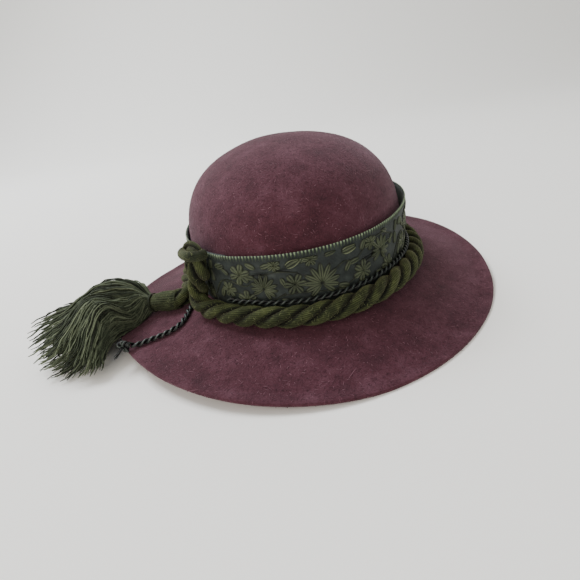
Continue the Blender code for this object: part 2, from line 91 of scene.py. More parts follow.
FELT_TOP = BRIM_RISE + FELT
EDGE_CUT = (
    # turn in degrees, share of the brim's width
    (0, 1.0), (90, 1.0), (125, 1.0), (160, 1.04), (200, 1.04), (245, 1.0),
    (270, 0.985), (312, 0.965), (345, 0.99), (360, 1.0),
)


def smooth(share):
    share = min(max(share, 0.0), 1.0)
    return share * share * (3 - 2 * share)


def oval(turn):
    """Radius of the crown's wall at its base."""
    return 1 / sqrt((cos(turn) / (CROWN_WIDTH / 2)) ** 2 + (sin(turn) / (CROWN_LENGTH / 2)) ** 2)


def crown_taper(share):
    return max(0.0, 1 - share ** CROWN_FLATTEN) ** (1 / CROWN_ROUND) * (1 + CROWN_SWELL * share)


def eased(table, spot):
    """A value between the rows of a table, pairs of place and value, eased from row to row."""
    for (start, before), (end, after) in zip(table, table[1:]):
        if spot <= end:
            return before + (after - before) * smooth((spot - start) / (end - start))
    return table[-1][1]


def brim_width(turn):
    return BRIM_WIDTH * eased(EDGE_CUT, degrees(turn) % 360)


def brim_under(turn, out):
    """Height of the brim's underside at a distance out from the crown's wall."""
    share = min(max(out / (brim_width(turn) - REST_STRIP), 0.0), 1.0)
    wave = max(0.0, (cos(2 * (turn - EDGE_TURN - pi / 2)) + EDGE_FLAT) / (1 + EDGE_FLAT))
    return BRIM_RISE * (1 - share) ** BRIM_CURL + EDGE_LIFT * wave * share


def brim_top(turn, out):
    return brim_under(turn, out) + FELT


CROWN_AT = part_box("felt_body")[1][0] - CROWN_WIDTH / 2 - brim_width(0.0)   # the crown's axis, along X


def place(turn, radius, height):
    return Vector((CROWN_AT + radius * cos(turn), radius * sin(turn), height))


def felt_section(turn):
    """One cut through the felt, from the crown's top round the edge to the inside's top."""
    wall, width = oval(turn), brim_width(turn)
    shares = [sin(pi / 2 * (1 - i / CROWN_ROWS)) ** (2 / CROWN_FLATTEN) for i in range(1, CROWN_ROWS)]
    line = [(wall * crown_taper(s), FELT_TOP + CROWN_HEIGHT * s) for s in shares]
    for i in range(FILLET_STEPS + 1):
        bend = pi / 2 * i / FILLET_STEPS
        out = CROWN_FILLET * (1 - cos(bend))
        line.append((wall + out, brim_top(turn, out) + CROWN_FILLET * (1 - sin(bend))))
    flat = width - EDGE_ROUND - CROWN_FILLET
    outs = [CROWN_FILLET + flat * i / BRIM_ROWS for i in range(1, BRIM_ROWS + 1)]
    line += [(wall + out, brim_top(turn, out)) for out in outs]
    top, under, worn = brim_top(turn, width), brim_under(turn, width), EDGE_ROUND * 0.3
    line += [(wall + width - worn, top - worn), (wall + width, top - EDGE_ROUND)]
    line += [(wall + width, under + EDGE_ROUND), (wall + width - worn, under + worn)]
    line += [(wall + out, brim_under(turn, out)) for out in reversed(outs[1::2])]
    start, corner = (wall + CROWN_FILLET, brim_under(turn, CROWN_FILLET)), (wall - FELT, brim_under(turn, 0))
    end = (wall - FELT, FELT_TOP + CROWN_FILLET)
    for i in range(INNER_STEPS + 1):
        t = i / INNER_STEPS
        line.append(tuple(a * (1 - t) ** 2 + 2 * b * t * (1 - t) + c * t * t
                          for a, b, c in zip(start, corner, end)))
    line += [((wall - FELT) * crown_taper(s), FELT_TOP + (CROWN_HEIGHT - FELT) * s) for s in reversed(shares)]
    return line


def felt_place(turn, radius, height):
    """A place on the felt: the crown leans a little, and hand-blocked felt is softly uneven, but not near
    the band or where the brim meets the table."""
    at = place(turn, radius, height)
    at.x -= CROWN_LEAN * max(0.0, (height - FELT_TOP) / CROWN_HEIGHT) ** 2
    wave = noise.noise(at * 22) + 0.5 * noise.noise(at * 47 + Vector((3, 1, 7)))
    free = smooth((at.z - 0.085) / 0.02) + 0.7 * smooth(at.z / 0.006) * (1 - smooth((at.z - 0.018) / 0.006))
    at.z += FELT_UNEVEN * wave * free
    return at


def solid(name, verts, faces, **marks):
    """A smooth-shaded mesh object, with a number for each point under each mark's name."""
    data = bpy.data.meshes.new(name)
    data.from_pydata(verts, [], faces)
    data.validate()
    data.shade_smooth()
    for mark, values in marks.items():
        data.attributes.new(mark, "FLOAT", "POINT").data.foreach_set("value", values)
    made = bpy.data.objects.new(name, data)
    bpy.context.scene.collection.objects.link(made)
    return made


def felt_skin():
    top, rows = FELT_TOP + CROWN_HEIGHT, len(felt_section(0.0))
    verts, faces = [Vector((CROWN_AT - CROWN_LEAN, 0, top))], []
    for i in range(FELT_TURNS):
        turn = 2 * pi * i / FELT_TURNS
        verts += [felt_place(turn, *cut) for cut in felt_section(turn)]
    verts.append(Vector((CROWN_AT - CROWN_LEAN, 0, top - FELT)))
    last = len(verts) - 1
    for i in range(FELT_TURNS):
        here, after = 1 + i * rows, 1 + (i + 1) % FELT_TURNS * rows
        faces.append((0, here, after))
        faces += [(here + j, here + j + 1, after + j + 1, after + j) for j in range(rows - 1)]
        faces.append((last, after + rows - 1, here + rows - 1))
    return solid("hat_felt", verts, faces)


def tone(colour):
    """An sRGB hex colour as linear red, green, blue and alpha."""
    shares = [int(colour[i:i + 2], 16) / 255 for i in (1, 3, 5)]
    return (*[s / 12.92 if s <= 0.04045 else ((s + 0.055) / 1.055) ** 2.4 for s in shares], 1.0)


def add(tree, kind, values=(), links=(), **settings):
    """One node with its settings, its sockets' values and what feeds its sockets: another node's first
    output, or the output that is given."""
    made = tree.nodes.new(kind)
    for name, value in settings.items():
        setattr(made, name, value)
    for socket, value in dict(values).items():
        made.inputs[socket].default_value = value
    for socket, source in dict(links).items():
        tree.links.new(getattr(source, "outputs", [source])[0], made.inputs[socket])
    return made


def shades(tree, source, stops):
    """A ramp from a value to colours: pairs of place and hex colour."""
    made = add(tree, "ShaderNodeValToRGB", links={0: source})
    ramp = made.color_ramp
    while len(ramp.elements) < len(stops):
        ramp.elements.new(0.5)
    for element, (at, colour) in zip(ramp.elements, stops):
        element.position = at
        element.color = tone(colour)
    return made.outputs[0]


def finish(name, roughness, sheen, sheen_colour, sheen_roughness, specular=0.25):
    """A material with a Principled shader, its tree and the shader."""
    made = bpy.data.materials.new(name)
    made.use_nodes = True
    shader = made.node_tree.nodes["Principled BSDF"]
    shader.inputs["Roughness"].default_value = roughness
    shader.inputs["Specular IOR Level"].default_value = specular
    shader.inputs["Sheen Weight"].default_value = sheen
    shader.inputs["Sheen Tint"].default_value = tone(sheen_colour)
    shader.inputs["Sheen Roughness"].default_value = sheen_roughness
    return made, made.node_tree, shader


def felted_wool():
    """Dyed wool felt: matt, mottled over a few centimetres, with curled fibre ends of a lighter shade."""
    made, tree, shader = finish("felted_wool", 0.96, 0.20, "#d8b4c4", 0.5)
    at = add(tree, "ShaderNodeTexCoord").outputs["Object"]
    cloud = add(tree, "ShaderNodeTexNoise", {"Scale": 55, "Detail": 4, "Roughness": 0.6}, {"Vector": at})
    grain = add(tree, "ShaderNodeTexNoise", {"Scale": 900, "Detail": 2, "Roughness": 0.7}, {"Vector": at})
    curl = add(tree, "ShaderNodeTexNoise", {"Scale": 430, "Detail": 1.5, "Distortion": 1.4}, {"Vector": at})
    mottle = add(tree, "ShaderNodeMath", {1: 0.45}, {0: grain, 2: cloud}, operation="MULTIPLY_ADD")
    ground = shades(tree, mottle, ((0.45, "#2d131a"), (0.72, "#422029"), (0.98, "#54333d")))
    strand = shades(tree, curl, ((0.455, "#000000"), (0.5, "#b0b0b0"), (0.545, "#000000")))
    share = add(tree, "ShaderNodeMath", {1: 0.42}, {0: strand}, operation="MULTIPLY")
    mixed = add(tree, "ShaderNodeMix", {7: tone("#69454f")}, {0: share, 6: ground}, data_type="RGBA")
    tree.links.new(mixed.outputs[2], shader.inputs["Base Color"])
    rough = add(tree, "ShaderNodeMath", links={0: curl, 1: grain}, operation="ADD")
    bump = add(tree, "ShaderNodeBump", {"Strength": 0.55, "Distance": 0.0006}, {"Height": rough})
    tree.links.new(bump.outputs[0], shader.inputs["Normal"])
    return made


hat_felt = felt_skin()
hat_felt.data.materials.append(felted_wool())
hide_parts("felt_body")
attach(hat_felt, "root")


# Nap: fibre ends that stand out of the felt, most of them short and lying down, a few long and loose.
# The same dyed wool, some of it a lighter, pinker shade.
NAP_FIBRES = 32000
NAP_LENGTH = 0.0024
NAP_THICKNESS = 0.00013
LOOSE_HAIRS = 420
HAIR_LENGTH = 0.0085
HAIR_THICKNESS = 0.00011
NAP_TURNS = 120
# from near the crown's top to the cut edge, every other row of the felt's section
FELT_OUTSIDE = slice(2, CROWN_ROWS + FILLET_STEPS + BRIM_ROWS + 3, 2)


def strip(first, columns, rows):
    """Faces between neighbouring rows of points, from the first point's number on."""
    corners = [first + columns * i + j for i in range(rows - 1) for j in range(columns - 1)]
    return [(at, at + columns, at + columns + 1, at + 1) for at in corners]


def fibre(name, curl, steps):
    """One curled fibre, a metre long and two metres wide at its middle, to be scaled where it lies."""
    verts = []
    for i in range(steps + 1):
        part = i / steps
        spot = Vector((part - 0.5, curl * sin(pi * part), 0.12 * (1 - cos(2 * pi * part)) * curl))
        verts += [spot + Vector((0, side * (0.35 + 0.65 * sin(pi * part)), 0)) for side in (-1, 1)]
    return solid(name, verts, strip(0, 2, steps + 1))


def start_group(name, **kinds):
    """A Geometry Nodes tree with named inputs, listed by kind, and what comes out of its group input."""
    tree = bpy.data.node_groups.new(name, "GeometryNodeTree")
    for kind, labels in (("Geometry", ["Geometry"]), *kinds.items(), ("Material", ["Material"])):
        for label in labels:
            tree.interface.new_socket(label, in_out="INPUT", socket_type="NodeSocket" + kind)
    tree.interface.new_socket("Geometry", in_out="OUTPUT", socket_type="NodeSocketGeometry")
    return tree, add(tree, "NodeGroupInput").outputs


def end_group(tree, geometry, given):
    real = add(tree, "GeometryNodeRealizeInstances", links={"Geometry": geometry})
    looks = add(tree, "GeometryNodeSetMaterial", links={"Geometry": real, "Material": given["Material"]})
    add(tree, "NodeGroupOutput", links={0: looks})
    return tree


def fibres_tree():
    """Scatters a fibre over a surface, turned and tipped by chance, each with its own shade."""
    tree, given = start_group("scattered_fibres", Object=["Fibre"], Int=["Seed"],
                              Float=["Density", "Length", "Thickness", "Tip Up", "Lift"])
    points = add(tree, "GeometryNodeDistributePointsOnFaces", links={
        "Mesh": given["Geometry"], "Density": given["Density"], "Seed": given["Seed"]})
    shade = add(tree, "FunctionNodeRandomValue", links={"Seed": given["Seed"]}, data_type="FLOAT")
    marked = add(tree, "GeometryNodeStoreNamedAttribute", {"Name": "shade"},
                 {"Geometry": points, "Value": shade.outputs["Value"]}, data_type="FLOAT", domain="POINT")
    rise = add(tree, "ShaderNodeVectorMath", links={0: points.outputs["Normal"], "Scale": given["Lift"]},
               operation="SCALE")
    lifted = add(tree, "GeometryNodeSetPosition", links={"Geometry": marked, "Offset": rise})
    spin = add(tree, "FunctionNodeRandomValue", {"Min": (0, 0, 0), "Max": (0, 0, 2 * pi)},
               data_type="FLOAT_VECTOR")
    tip = add(tree, "FunctionNodeRandomValue", {"Min": (-1, -1, 0), "Max": (1, 1, 0)},
              data_type="FLOAT_VECTOR")
    tipped = add(tree, "ShaderNodeVectorMath", links={0: tip, "Scale": given["Tip Up"]}, operation="SCALE")
    turned = points.outputs["Rotation"]
    for angles in (spin, tipped):
        more = add(tree, "FunctionNodeEulerToRotation", links={0: angles})
        turned = add(tree, "FunctionNodeRotateRotation", links={0: turned, 1: more}, rotation_space="LOCAL")
    long = add(tree, "FunctionNodeRandomValue", {"Min": 0.45, "Max": 1.25}, data_type="FLOAT")
    length = add(tree, "ShaderNodeMath", links={0: long.outputs["Value"], 1: given["Length"]},
                 operation="MULTIPLY")
    half = add(tree, "ShaderNodeMath", {1: 0.4}, {0: length}, operation="MULTIPLY")
    size = add(tree, "ShaderNodeCombineXYZ", links={0: length, 1: given["Thickness"], 2: half})
    one = add(tree, "GeometryNodeObjectInfo", links={"Object": given["Fibre"]}).outputs["Geometry"]
    strewn = add(tree, "GeometryNodeInstanceOnPoints", links={
        "Points": lifted, "Instance": one, "Rotation": turned, "Scale": size})
    return end_group(tree, strewn, given)


def grown(name, base, tree, **inputs):
    """The mesh that a tree makes from an object, as a new object. The base goes away."""
    growth = base.modifiers.new("growth", "NODES")
    growth.node_group = tree
    sockets = {s.name: s.identifier for s in tree.interface.items_tree if s.in_out == "INPUT"}
    for wanted, value in inputs.items():
        growth[sockets[wanted.replace("_", " ").title()]] = value
    bpy.context.view_layer.update()
    data = bpy.data.meshes.new_from_object(base.evaluated_get(bpy.context.evaluated_depsgraph_get()))
    data.name = name
    made = bpy.data.objects.new(name, data)
    bpy.context.scene.collection.objects.link(made)
    bpy.data.objects.remove(base, do_unlink=True)
    return made


def single_fibres(name, roughness, sheen, sheen_colour, *stops):
    """Single dyed wool fibres: matt, each of its own shade."""
    made, tree, shader = finish(name, roughness, sheen, sheen_colour, 0.5)
    shade = add(tree, "ShaderNodeAttribute", attribute_name="shade").outputs["Fac"]
    tree.links.new(shades(tree, shade, stops), shader.inputs["Base Color"])
    return made


def felt_outside(name):
    """The part of the felt's skin that faces out or up, to scatter fibres on."""
    verts, faces = [], []
    for i in range(NAP_TURNS):
        turn = 2 * pi * i / NAP_TURNS
        verts += [felt_place(turn, *cut) for cut in felt_section(turn)[FELT_OUTSIDE]]
    rows = len(verts) // NAP_TURNS
    for i in range(NAP_TURNS):
        here, after = i * rows, (i + 1) % NAP_TURNS * rows
        faces += [(here + j, here + j + 1, after + j + 1, after + j) for j in range(rows - 1)]
    return solid(name, verts, faces)


felt_area = sum(f.area for f in hat_felt.data.polygons) / 2
scattered_fibres = fibres_tree()
fibre_wool = single_fibres("wool_fibres", 0.9, 0.15, "#d8b4c4",
                           (0.0, "#260f16"), (0.5, "#3c1c26"), (0.85, "#54313b"), (1.0, "#7c5862"))
short_fibre = fibre("short_fibre", 0.22, 3)
long_fibre = fibre("long_fibre", 0.30, 9)
felt_nap = grown("felt_nap", felt_outside("nap_ground"), scattered_fibres, fibre=short_fibre,
                 density=NAP_FIBRES / felt_area, length=NAP_LENGTH, thickness=NAP_THICKNESS, tip_up=0.16,
                 lift=0.00012, seed=11, material=fibre_wool)
loose_hairs = grown("loose_hairs", felt_outside("hair_ground"), scattered_fibres, fibre=long_fibre,
                    density=LOOSE_HAIRS / felt_area, length=HAIR_LENGTH, thickness=HAIR_THICKNESS,
                    tip_up=0.22, lift=0.0004, seed=12, material=fibre_wool)
for base in (short_fibre, long_fibre):
    bpy.data.objects.remove(base, do_unlink=True)
for piece in (felt_nap, loose_hairs):
    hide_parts("felt_body")
    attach(piece, "root")


# Band: a jacquard ribbon 42 mm wide, wound once round the crown's foot, its end lapped over its start
# and stitched. It stands a little off the crown at its upper edge and has soft puckers and creases.
BAND_WIDTH = 0.0420
BAND_TILT = 0.0025
BAND_HIGH = radians(30)     # where it sits highest
BAND_THICKNESS = 0.0010
BAND_FLARE = 0.0018
BAND_STAND_OFF = 0.0024     # more of it on the side away from the knot
BAND_FAR_SIDE = radians(8)
BAND_OVERLAP_START = radians(228)
BAND_OVERLAP = radians(12)
BAND_PUCKER = 0.00035
BAND_CREASES = (
    # middle and half its run in degrees, share of the ribbon's width, climb over half the run
    (256, 11, 0.70, 0.07), (301, 15, 0.60, 0.08), (336, 9, 0.45, -0.04), (60, 14, 0.55, 0.06),
    (150, 12, 0.60, -0.05),
)
CREASE_DEPTH = 0.0017
CREASE_WIDTH = 0.030        # as a share of the ribbon's width
CLEARANCE = 0.0003
BAND_STEPS = 430
BAND_ROWS = 48
BAND_BACK_EVERY = 4         # rows of the outer face to one of the inner face


def band_lap(turn):
    past = turn - BAND_OVERLAP_START - BAND_OVERLAP
    return (BAND_THICKNESS + CLEARANCE * 1.3) * (1 - smooth(past / BAND_OVERLAP))


def band_radius(turn, share):
    height = CROWN_FILLET + BAND_WIDTH * share
    wall = oval(turn) * max(1.0, crown_taper(height / CROWN_HEIGHT))
    far = max(0.0, cos(turn - BAND_FAR_SIDE)) ** 6
    return wall + CLEARANCE + (BAND_FLARE + BAND_STAND_OFF * far) * share ** 1.6


def band_height(turn, share):
    return FELT_TOP + CROWN_FILLET + BAND_TILT * (1 + cos(turn - BAND_HIGH)) + BAND_WIDTH * share


def band_outside(turn, share):
    while turn < BAND_OVERLAP_START:
        turn += 2 * pi
    while turn >= BAND_OVERLAP_START + 2 * pi:
        turn -= 2 * pi
    return band_radius(turn, share) + band_lap(turn) + BAND_THICKNESS


def band_pucker(turn, share):
    """Soft waves across the ribbon, and long creases with a rounded lip above them."""
    wave = noise.noise(Vector((cos(turn) * 9, sin(turn) * 9, share * 2.2)))
    crease = 0.0
    for middle, half, up, climb in BAND_CREASES:
        along_it = (degrees(turn) % 360 - middle) / half
        if abs(along_it) < 1:
            above = (share - up - climb * along_it) / CREASE_WIDTH
            crease += (1 - along_it ** 2) * (exp(-(above / 0.8) ** 2) - 0.6 * exp(-(above - 1.5) ** 2))
    free = smooth(share * 3) * smooth((1 - share) * 4 + 0.3)
    return (BAND_PUCKER * wave - CREASE_DEPTH * crease) * free


def on_band(turn, share, off=0.0):
    """A place on the ribbon's outer face, or off it."""
    radius = band_outside(turn, share) + band_pucker(turn, share) + off
    return place(turn, radius, band_height(turn, share))


def ribbon_strip():
    verts, faces, sunk = [], [], []
    section = [(j / BAND_ROWS, BAND_THICKNESS) for j in range(BAND_ROWS + 1)]
    section += [(j / BAND_ROWS, 0.0) for j in range(BAND_ROWS, -1, -BAND_BACK_EVERY)]
    ring = len(section)
    for i in range(BAND_STEPS + 1):
        turn = BAND_OVERLAP_START + (2 * pi + BAND_OVERLAP) * i / BAND_STEPS
        for share, thick in section:
            pucker = band_pucker(turn, share)
            radius = band_radius(turn, share) + band_lap(turn) + pucker + thick
            verts.append(place(turn, radius, band_height(turn, share)))
            # painted shade: how deep a crease sinks the ribbon here, which darkens its colour
            sunk.append(smooth(-pucker / CREASE_DEPTH * 1.6 - 0.3))
    for i in range(BAND_STEPS):
        here, after = i * ring, (i + 1) * ring
        faces += [(here + j, after + j, after + (j + 1) % ring, here + (j + 1) % ring) for j in range(ring)]
    faces += [tuple(range(ring)), tuple(BAND_STEPS * ring + j for j in reversed(range(ring)))]
    return solid("band_ribbon", verts, faces, sunk=sunk)


def woven_ground():
    """Polyester satin ground of the jacquard: dark grey-green, finely ribbed, with painted shade in its
    creases.
    """
    made, tree, shader = finish("woven_ground", 0.62, 0.15, "#b9c4b4", 0.4)
    at = add(tree, "ShaderNodeTexCoord").outputs["Object"]
    cloud = add(tree, "ShaderNodeTexNoise", {"Scale": 180, "Detail": 3}, {"Vector": at})
    satin = shades(tree, cloud, ((0.35, "#1f2423"), (0.6, "#2b312f"), (0.8, "#3a403c")))
    # painted shade in the creases: the satin is mixed towards near black where the ribbon sinks
    sunk = add(tree, "ShaderNodeAttribute", attribute_name="sunk").outputs["Fac"]
    crease_shaded = add(tree, "ShaderNodeMix", {7: tone("#060706")}, {0: sunk, 6: satin}, data_type="RGBA")
    tree.links.new(crease_shaded.outputs[2], shader.inputs["Base Color"])
    thread = add(tree, "ShaderNodeTexWave", {"Scale": 330, "Distortion": 1.5, "Detail": 1}, {"Vector": at},
                 bands_direction="Z")
    bump = add(tree, "ShaderNodeBump", {"Strength": 0.35, "Distance": 0.0004}, {"Height": thread.outputs[1]})
    tree.links.new(bump.outputs[0], shader.inputs["Normal"])
    return made


band_ribbon = ribbon_strip()
band_ribbon.data.materials.append(woven_ground())


# Ladder edge: the ribbon's corded upper selvedge, a rib every 2.4 mm that ends in a bright loop.
RIB_SPACING = 0.0024
RIB_HEIGHT = 0.0042
RIB_WIDTH = 0.0012
RIB_PROUD = 0.0007
RIB_OVER = 0.012            # how far the ribs' ends pass the ribbon's edge, as a share of its width
EDGE_POINTS = 600
RIB_ROWS = (
    # height, and the shares of its width and depth there
    (-0.5, 0.35, 0.1), (-0.2, 0.7, 0.5), (0.2, 0.95, 0.9), (0.42, 1.0, 1.0), (0.5, 0.55, 0.45),
)
RIB_SECTION = ((-0.5, 0.0), (-0.3, 0.8), (0.0, 1.0), (0.3, 0.8), (0.5, 0.0))


def rib_mesh():
    """One rib a metre high, wide and deep, thickest at its top, to be scaled where it stands."""
    verts = [(side * wide, out * deep, height)
             for height, wide, deep in RIB_ROWS for side, out in RIB_SECTION]
    columns, rows = len(RIB_SECTION), len(RIB_ROWS)
    top = tuple(reversed(range(columns * (rows - 1), columns * rows)))
    # tip: the height up the rib, from which its colour is painted lighter towards the top as light and shade
    return solid("rib", verts, strip(0, columns, rows) + [top], tip=[height + 0.5 for _, _, height in verts])


def ribs_tree():
    """Stands one rib every so far along a curve, its back to the curve's axis."""
    tree, given = start_group("ribs_along", Object=["Rib"], Int=["Seed"],
                              Float=["Spacing", "Width", "Depth", "Height"])
    route = add(tree, "GeometryNodeResampleCurve", mode="LENGTH",
                links={"Curve": given["Geometry"], "Length": given["Spacing"]})
    shade = add(tree, "FunctionNodeRandomValue", links={"Seed": given["Seed"]}, data_type="FLOAT")
    marked = add(tree, "GeometryNodeStoreNamedAttribute", {"Name": "shade"},
                 {"Geometry": route, "Value": shade.outputs["Value"]}, data_type="FLOAT", domain="POINT")
    tangent = add(tree, "GeometryNodeInputTangent")
    back = add(tree, "ShaderNodeVectorMath", {"Scale": -1.0}, {0: tangent}, operation="SCALE")
    facing = add(tree, "FunctionNodeAxesToRotation", {"Secondary Axis": (0, 0, 1)}, {"Primary Axis": back},
                 primary_axis="X", secondary_axis="Z")
    size = add(tree, "ShaderNodeCombineXYZ",
               links={0: given["Width"], 1: given["Depth"], 2: given["Height"]})
    one = add(tree, "GeometryNodeObjectInfo", links={"Object": given["Rib"]}).outputs["Geometry"]
    standing = add(tree, "GeometryNodeInstanceOnPoints", links={
        "Points": marked, "Instance": one, "Rotation": facing, "Scale": size})
    return end_group(tree, standing, given)


def edge_thread():
    """Lustrous light-green thread of the corded edge, painted lighter towards the ribs' tips and with painted
    shade at their feet.
    """
    made, tree, shader = finish("corded_edge_thread", 0.5, 0.2, "#cfdcc0", 0.4)
    # painted light and shade: lighter up the rib, darker at its foot
    tip = add(tree, "ShaderNodeAttribute", attribute_name="tip").outputs["Fac"]
    shade = add(tree, "ShaderNodeAttribute", attribute_name="shade").outputs["Fac"]
    part = add(tree, "ShaderNodeMath", {1: 0.25}, {0: shade, 2: tip}, operation="MULTIPLY_ADD")
    colour = shades(tree, part, ((0.2, "#272e25"), (0.65, "#3f4a38"), (1.0, "#76866a")))
    tree.links.new(colour, shader.inputs["Base Color"])
    return made


def route_curve(name, routes, widths=None):
    """Curves through points, one for each route, with a width share at each point."""
    data = bpy.data.curves.new(name, "CURVE")
    data.dimensions = "3D"
    for i, route in enumerate(routes):
        spline = data.splines.new("POLY")
        spline.points.add(len(route) - 1)
        spline.points.foreach_set("co", [c for at in route for c in (*at, 1.0)])
        if widths:
            spline.points.foreach_set("radius", widths[i])
    made = bpy.data.objects.new(name, data)
    bpy.context.scene.collection.objects.link(made)
    return made


edge_share = 1 - 0.5 * RIB_HEIGHT / BAND_WIDTH + RIB_OVER
edge_line = [on_band(BAND_OVERLAP_START + 2 * pi * i / EDGE_POINTS, edge_share) for i in range(EDGE_POINTS)]
one_rib = rib_mesh()
ladder_edge = grown("ladder_edge", route_curve("edge_route", [edge_line]), ribs_tree(), rib=one_rib,
                    spacing=RIB_SPACING, width=RIB_WIDTH, depth=RIB_PROUD, height=RIB_HEIGHT, seed=21,
                    material=edge_thread())
bpy.data.objects.remove(one_rib, do_unlink=True)


# Jacquard flowers: blooms, leaves and stems woven in olive over the dark ground, padded by their floats,
# with painted light on top and painted shade at their edges. One spray 149 mm long, four times round the
# crown.
REPEATS = 4
THREAD_LIFT = 0.00145       # height of a full float over the ground
THREAD_SUNK = 0.12          # how deep the threads' feet lie in the ground, as a share of that
RIBBON_MARKS = 720          # places at which the ribbon's length is measured
PETAL_STEPS = 7
LEAF_WIDTH = 0.52           # widths of leaves and petals are shares of their lengths
BUD_WIDTH = 0.50
BLOOM_RINGS = ((1.0, 6), (0.55, 5))     # share of the bloom's size, and petals
BLOOM_PETAL_WIDTH = 0.70
FAN_SIDE = 5                # petals on each side of the middle one
FAN_STEP = radians(27)
FAN_PETAL_WIDTH = 0.30
STEM_STEPS = 30
STEM_SECTION = ((-0.0006, 0.0), (-0.0002, 0.8), (0.0002, 0.8), (0.0006, 0.0))
# Half-sections of a petal from its edge to its middle: share of half its width, share of the lift, which also
# sets its painted light and shade
FILLED = ((1.0, -0.1), (0.90, 0.16), (0.66, 0.62), (0.34, 1.0), (0.0, 0.30))
OUTLINED = ((1.0, -0.1), (0.80, 1.60), (0.52, 0.45), (0.20, 0.75), (0.0, 1.1))
SPRAY = (
    # kind, mm along the ribbon, mm up it, size in mm, lean in degrees
    ("leaf", 3, 30, 10, 70), ("leaf", 9, 33, 9, 20), ("leaf", 4, 20, 11, 95), ("leaf", 9, 9, 10, 60),
    ("bloom", 19, 17, 7.0, 0), ("bloom", 31, 29, 8.5, 15), ("bloom", 33, 9, 8.5, 30),
    ("fan", 47, 18, 12, 70),
    ("leaf", 44, 33, 9, 150), ("leaf", 47, 34, 9, 15), ("bloom", 57, 35, 5.0, 30), ("bud", 64, 33, 12, 24),
    ("leaf", 57, 9, 10, -15), ("bloom", 69, 20, 8.5, 0), ("fan", 87, 17, 15.5, 90), ("bloom", 81, 36, 5.5, 0),
    ("leaf", 90, 36, 9, 10), ("leaf", 74, 34, 8, 60), ("bud", 102, 35, 12, 8), ("leaf", 104, 20, 9, 60),
    ("leaf", 107, 25, 9, 10), ("bloom", 118, 16, 8.5, 20), ("leaf", 117, 31, 9, 60),
    ("bloom", 126, 34, 6, 20),
    ("leaf", 107, 9, 10, 160), ("fan", 136, 24, 12, 80), ("bloom", 145, 10, 7.5, 0), ("leaf", 130, 9, 9, -10),
    ("leaf", 78, 8, 9, 200), ("leaf", 20, 6, 9, 10), ("leaf", 19, 35, 9, 200), ("leaf", 22, 28, 8, 140),
    ("leaf", 42, 26, 8, 170), ("leaf", 60, 26, 8, -70), ("leaf", 97, 9, 9, -20), ("leaf", 145, 35, 9, 150),
    ("leaf", 48, 8, 8, 190), ("leaf", 113, 7, 8, 10), ("leaf", 147, 24, 9, 60),
)
STEMS = (
    # points: mm along the ribbon, mm up it
    ((2, 10), (12, 22), (22, 24), (34, 20), (48, 28), (60, 30), (72, 28)),
    ((58, 12), (70, 13), (80, 12), (96, 10), (110, 12), (122, 22), (134, 22)),
    ((96, 24), (104, 28), (112, 26), (124, 34), (138, 36), (149, 32)),
    ((16, 8), (26, 14), (40, 8), (52, 9), (62, 14)),
)


def ribbon_turn(marks):
    return BAND_OVERLAP_START + 2 * pi * marks / RIBBON_MARKS


def arc_table():
    """Lengths along the ribbon's face at even turns from its start."""
    lengths, before = [0.0], on_band(BAND_OVERLAP_START, 0.5)
    for i in range(1, RIBBON_MARKS + 1):
        here = on_band(ribbon_turn(i), 0.5)
        lengths.append(lengths[-1] + (here - before).length)
        before = here
    return lengths


ribbon_lengths = arc_table()


def on_ribbon(along_it, up, off):
    """A place on the ribbon's face from lengths in metres along it and up it."""
    length = along_it % ribbon_lengths[-1]
    i = min(max(bisect(ribbon_lengths, length) - 1, 0), len(ribbon_lengths) - 2)
    part = (length - ribbon_lengths[i]) / (ribbon_lengths[i + 1] - ribbon_lengths[i])
    return on_band(ribbon_turn(i + part), min(max(up / BAND_WIDTH, 0.02), 0.90), off)


def along(points, share):
    """A point of the smooth curve through the given points, at a share of its run."""
    spans = len(points) - 1
    spot = min(max(share, 0.0), 1.0) * spans
    i = min(int(spot), spans - 1)
    t = spot - i
    p1, p2 = points[i], points[i + 1]
    p0 = points[i - 1] if i > 0 else p1 * 2 - p2
    p3 = points[i + 2] if i + 2 <= spans else p2 * 2 - p1
    return 0.5 * (
        p1 * 2 + (p2 - p0) * t + (p0 * 2 - p1 * 5 + p2 * 4 - p3) * t ** 2
        + (p1 * 3 - p0 - p2 * 3 + p3) * t ** 3
    )


def smooth_route(points, count):
    return [along(points, i / (count - 1)) for i in range(count)]


def petal(relief, at, lean, length, width, section=FILLED, round_tip=0.85):
    """A leaf or petal from its foot: a padded body of floats whose edge dips into the ground, or an outlined
    one. Its lift also sets its painted light and shade.
    """
    verts, faces, raised = relief
    columns = [(-side, lift) for side, lift in section[:-1]] + list(reversed(section))
    faces += strip(len(verts), len(columns), PETAL_STEPS + 1)
    for i in range(PETAL_STEPS + 1):
        part = i / PETAL_STEPS
        half = width / 2 * max(0.04, sin(pi * part ** round_tip)) ** 0.6
        cap = 1 - (2 * part - 1) ** 8
        for side, lift in columns:
            ahead, aside = length * part, half * side
            x = at[0] + ahead * cos(lean) - aside * sin(lean)
            y = at[1] + ahead * sin(lean) + aside * cos(lean)
            verts.append(on_ribbon(x, y, THREAD_LIFT * (lift * cap - THREAD_SUNK)))
            # painted light and shade: the thread's colour follows this lift, light on top and dark at the
            # edge
            raised.append(lift * cap)


def flower(relief, kind, at, lean, size):
    if kind == "leaf":
        petal(relief, at, lean, size, size * LEAF_WIDTH)
    elif kind == "bud":
        petal(relief, at, lean, size, size * BUD_WIDTH, OUTLINED)
    elif kind == "bloom":
        for ring, petals in BLOOM_RINGS:
            for i in range(petals):
                petal(relief, at, lean + 2 * pi * (i + ring) / petals, size * ring,
                      size * ring * BLOOM_PETAL_WIDTH, round_tip=1.7)
    else:
        for i in range(-FAN_SIDE, FAN_SIDE + 1):
            petal(relief, at, lean + FAN_STEP * i, size * (1 - 0.04 * abs(i)), size * FAN_PETAL_WIDTH,
                  round_tip=1.35)


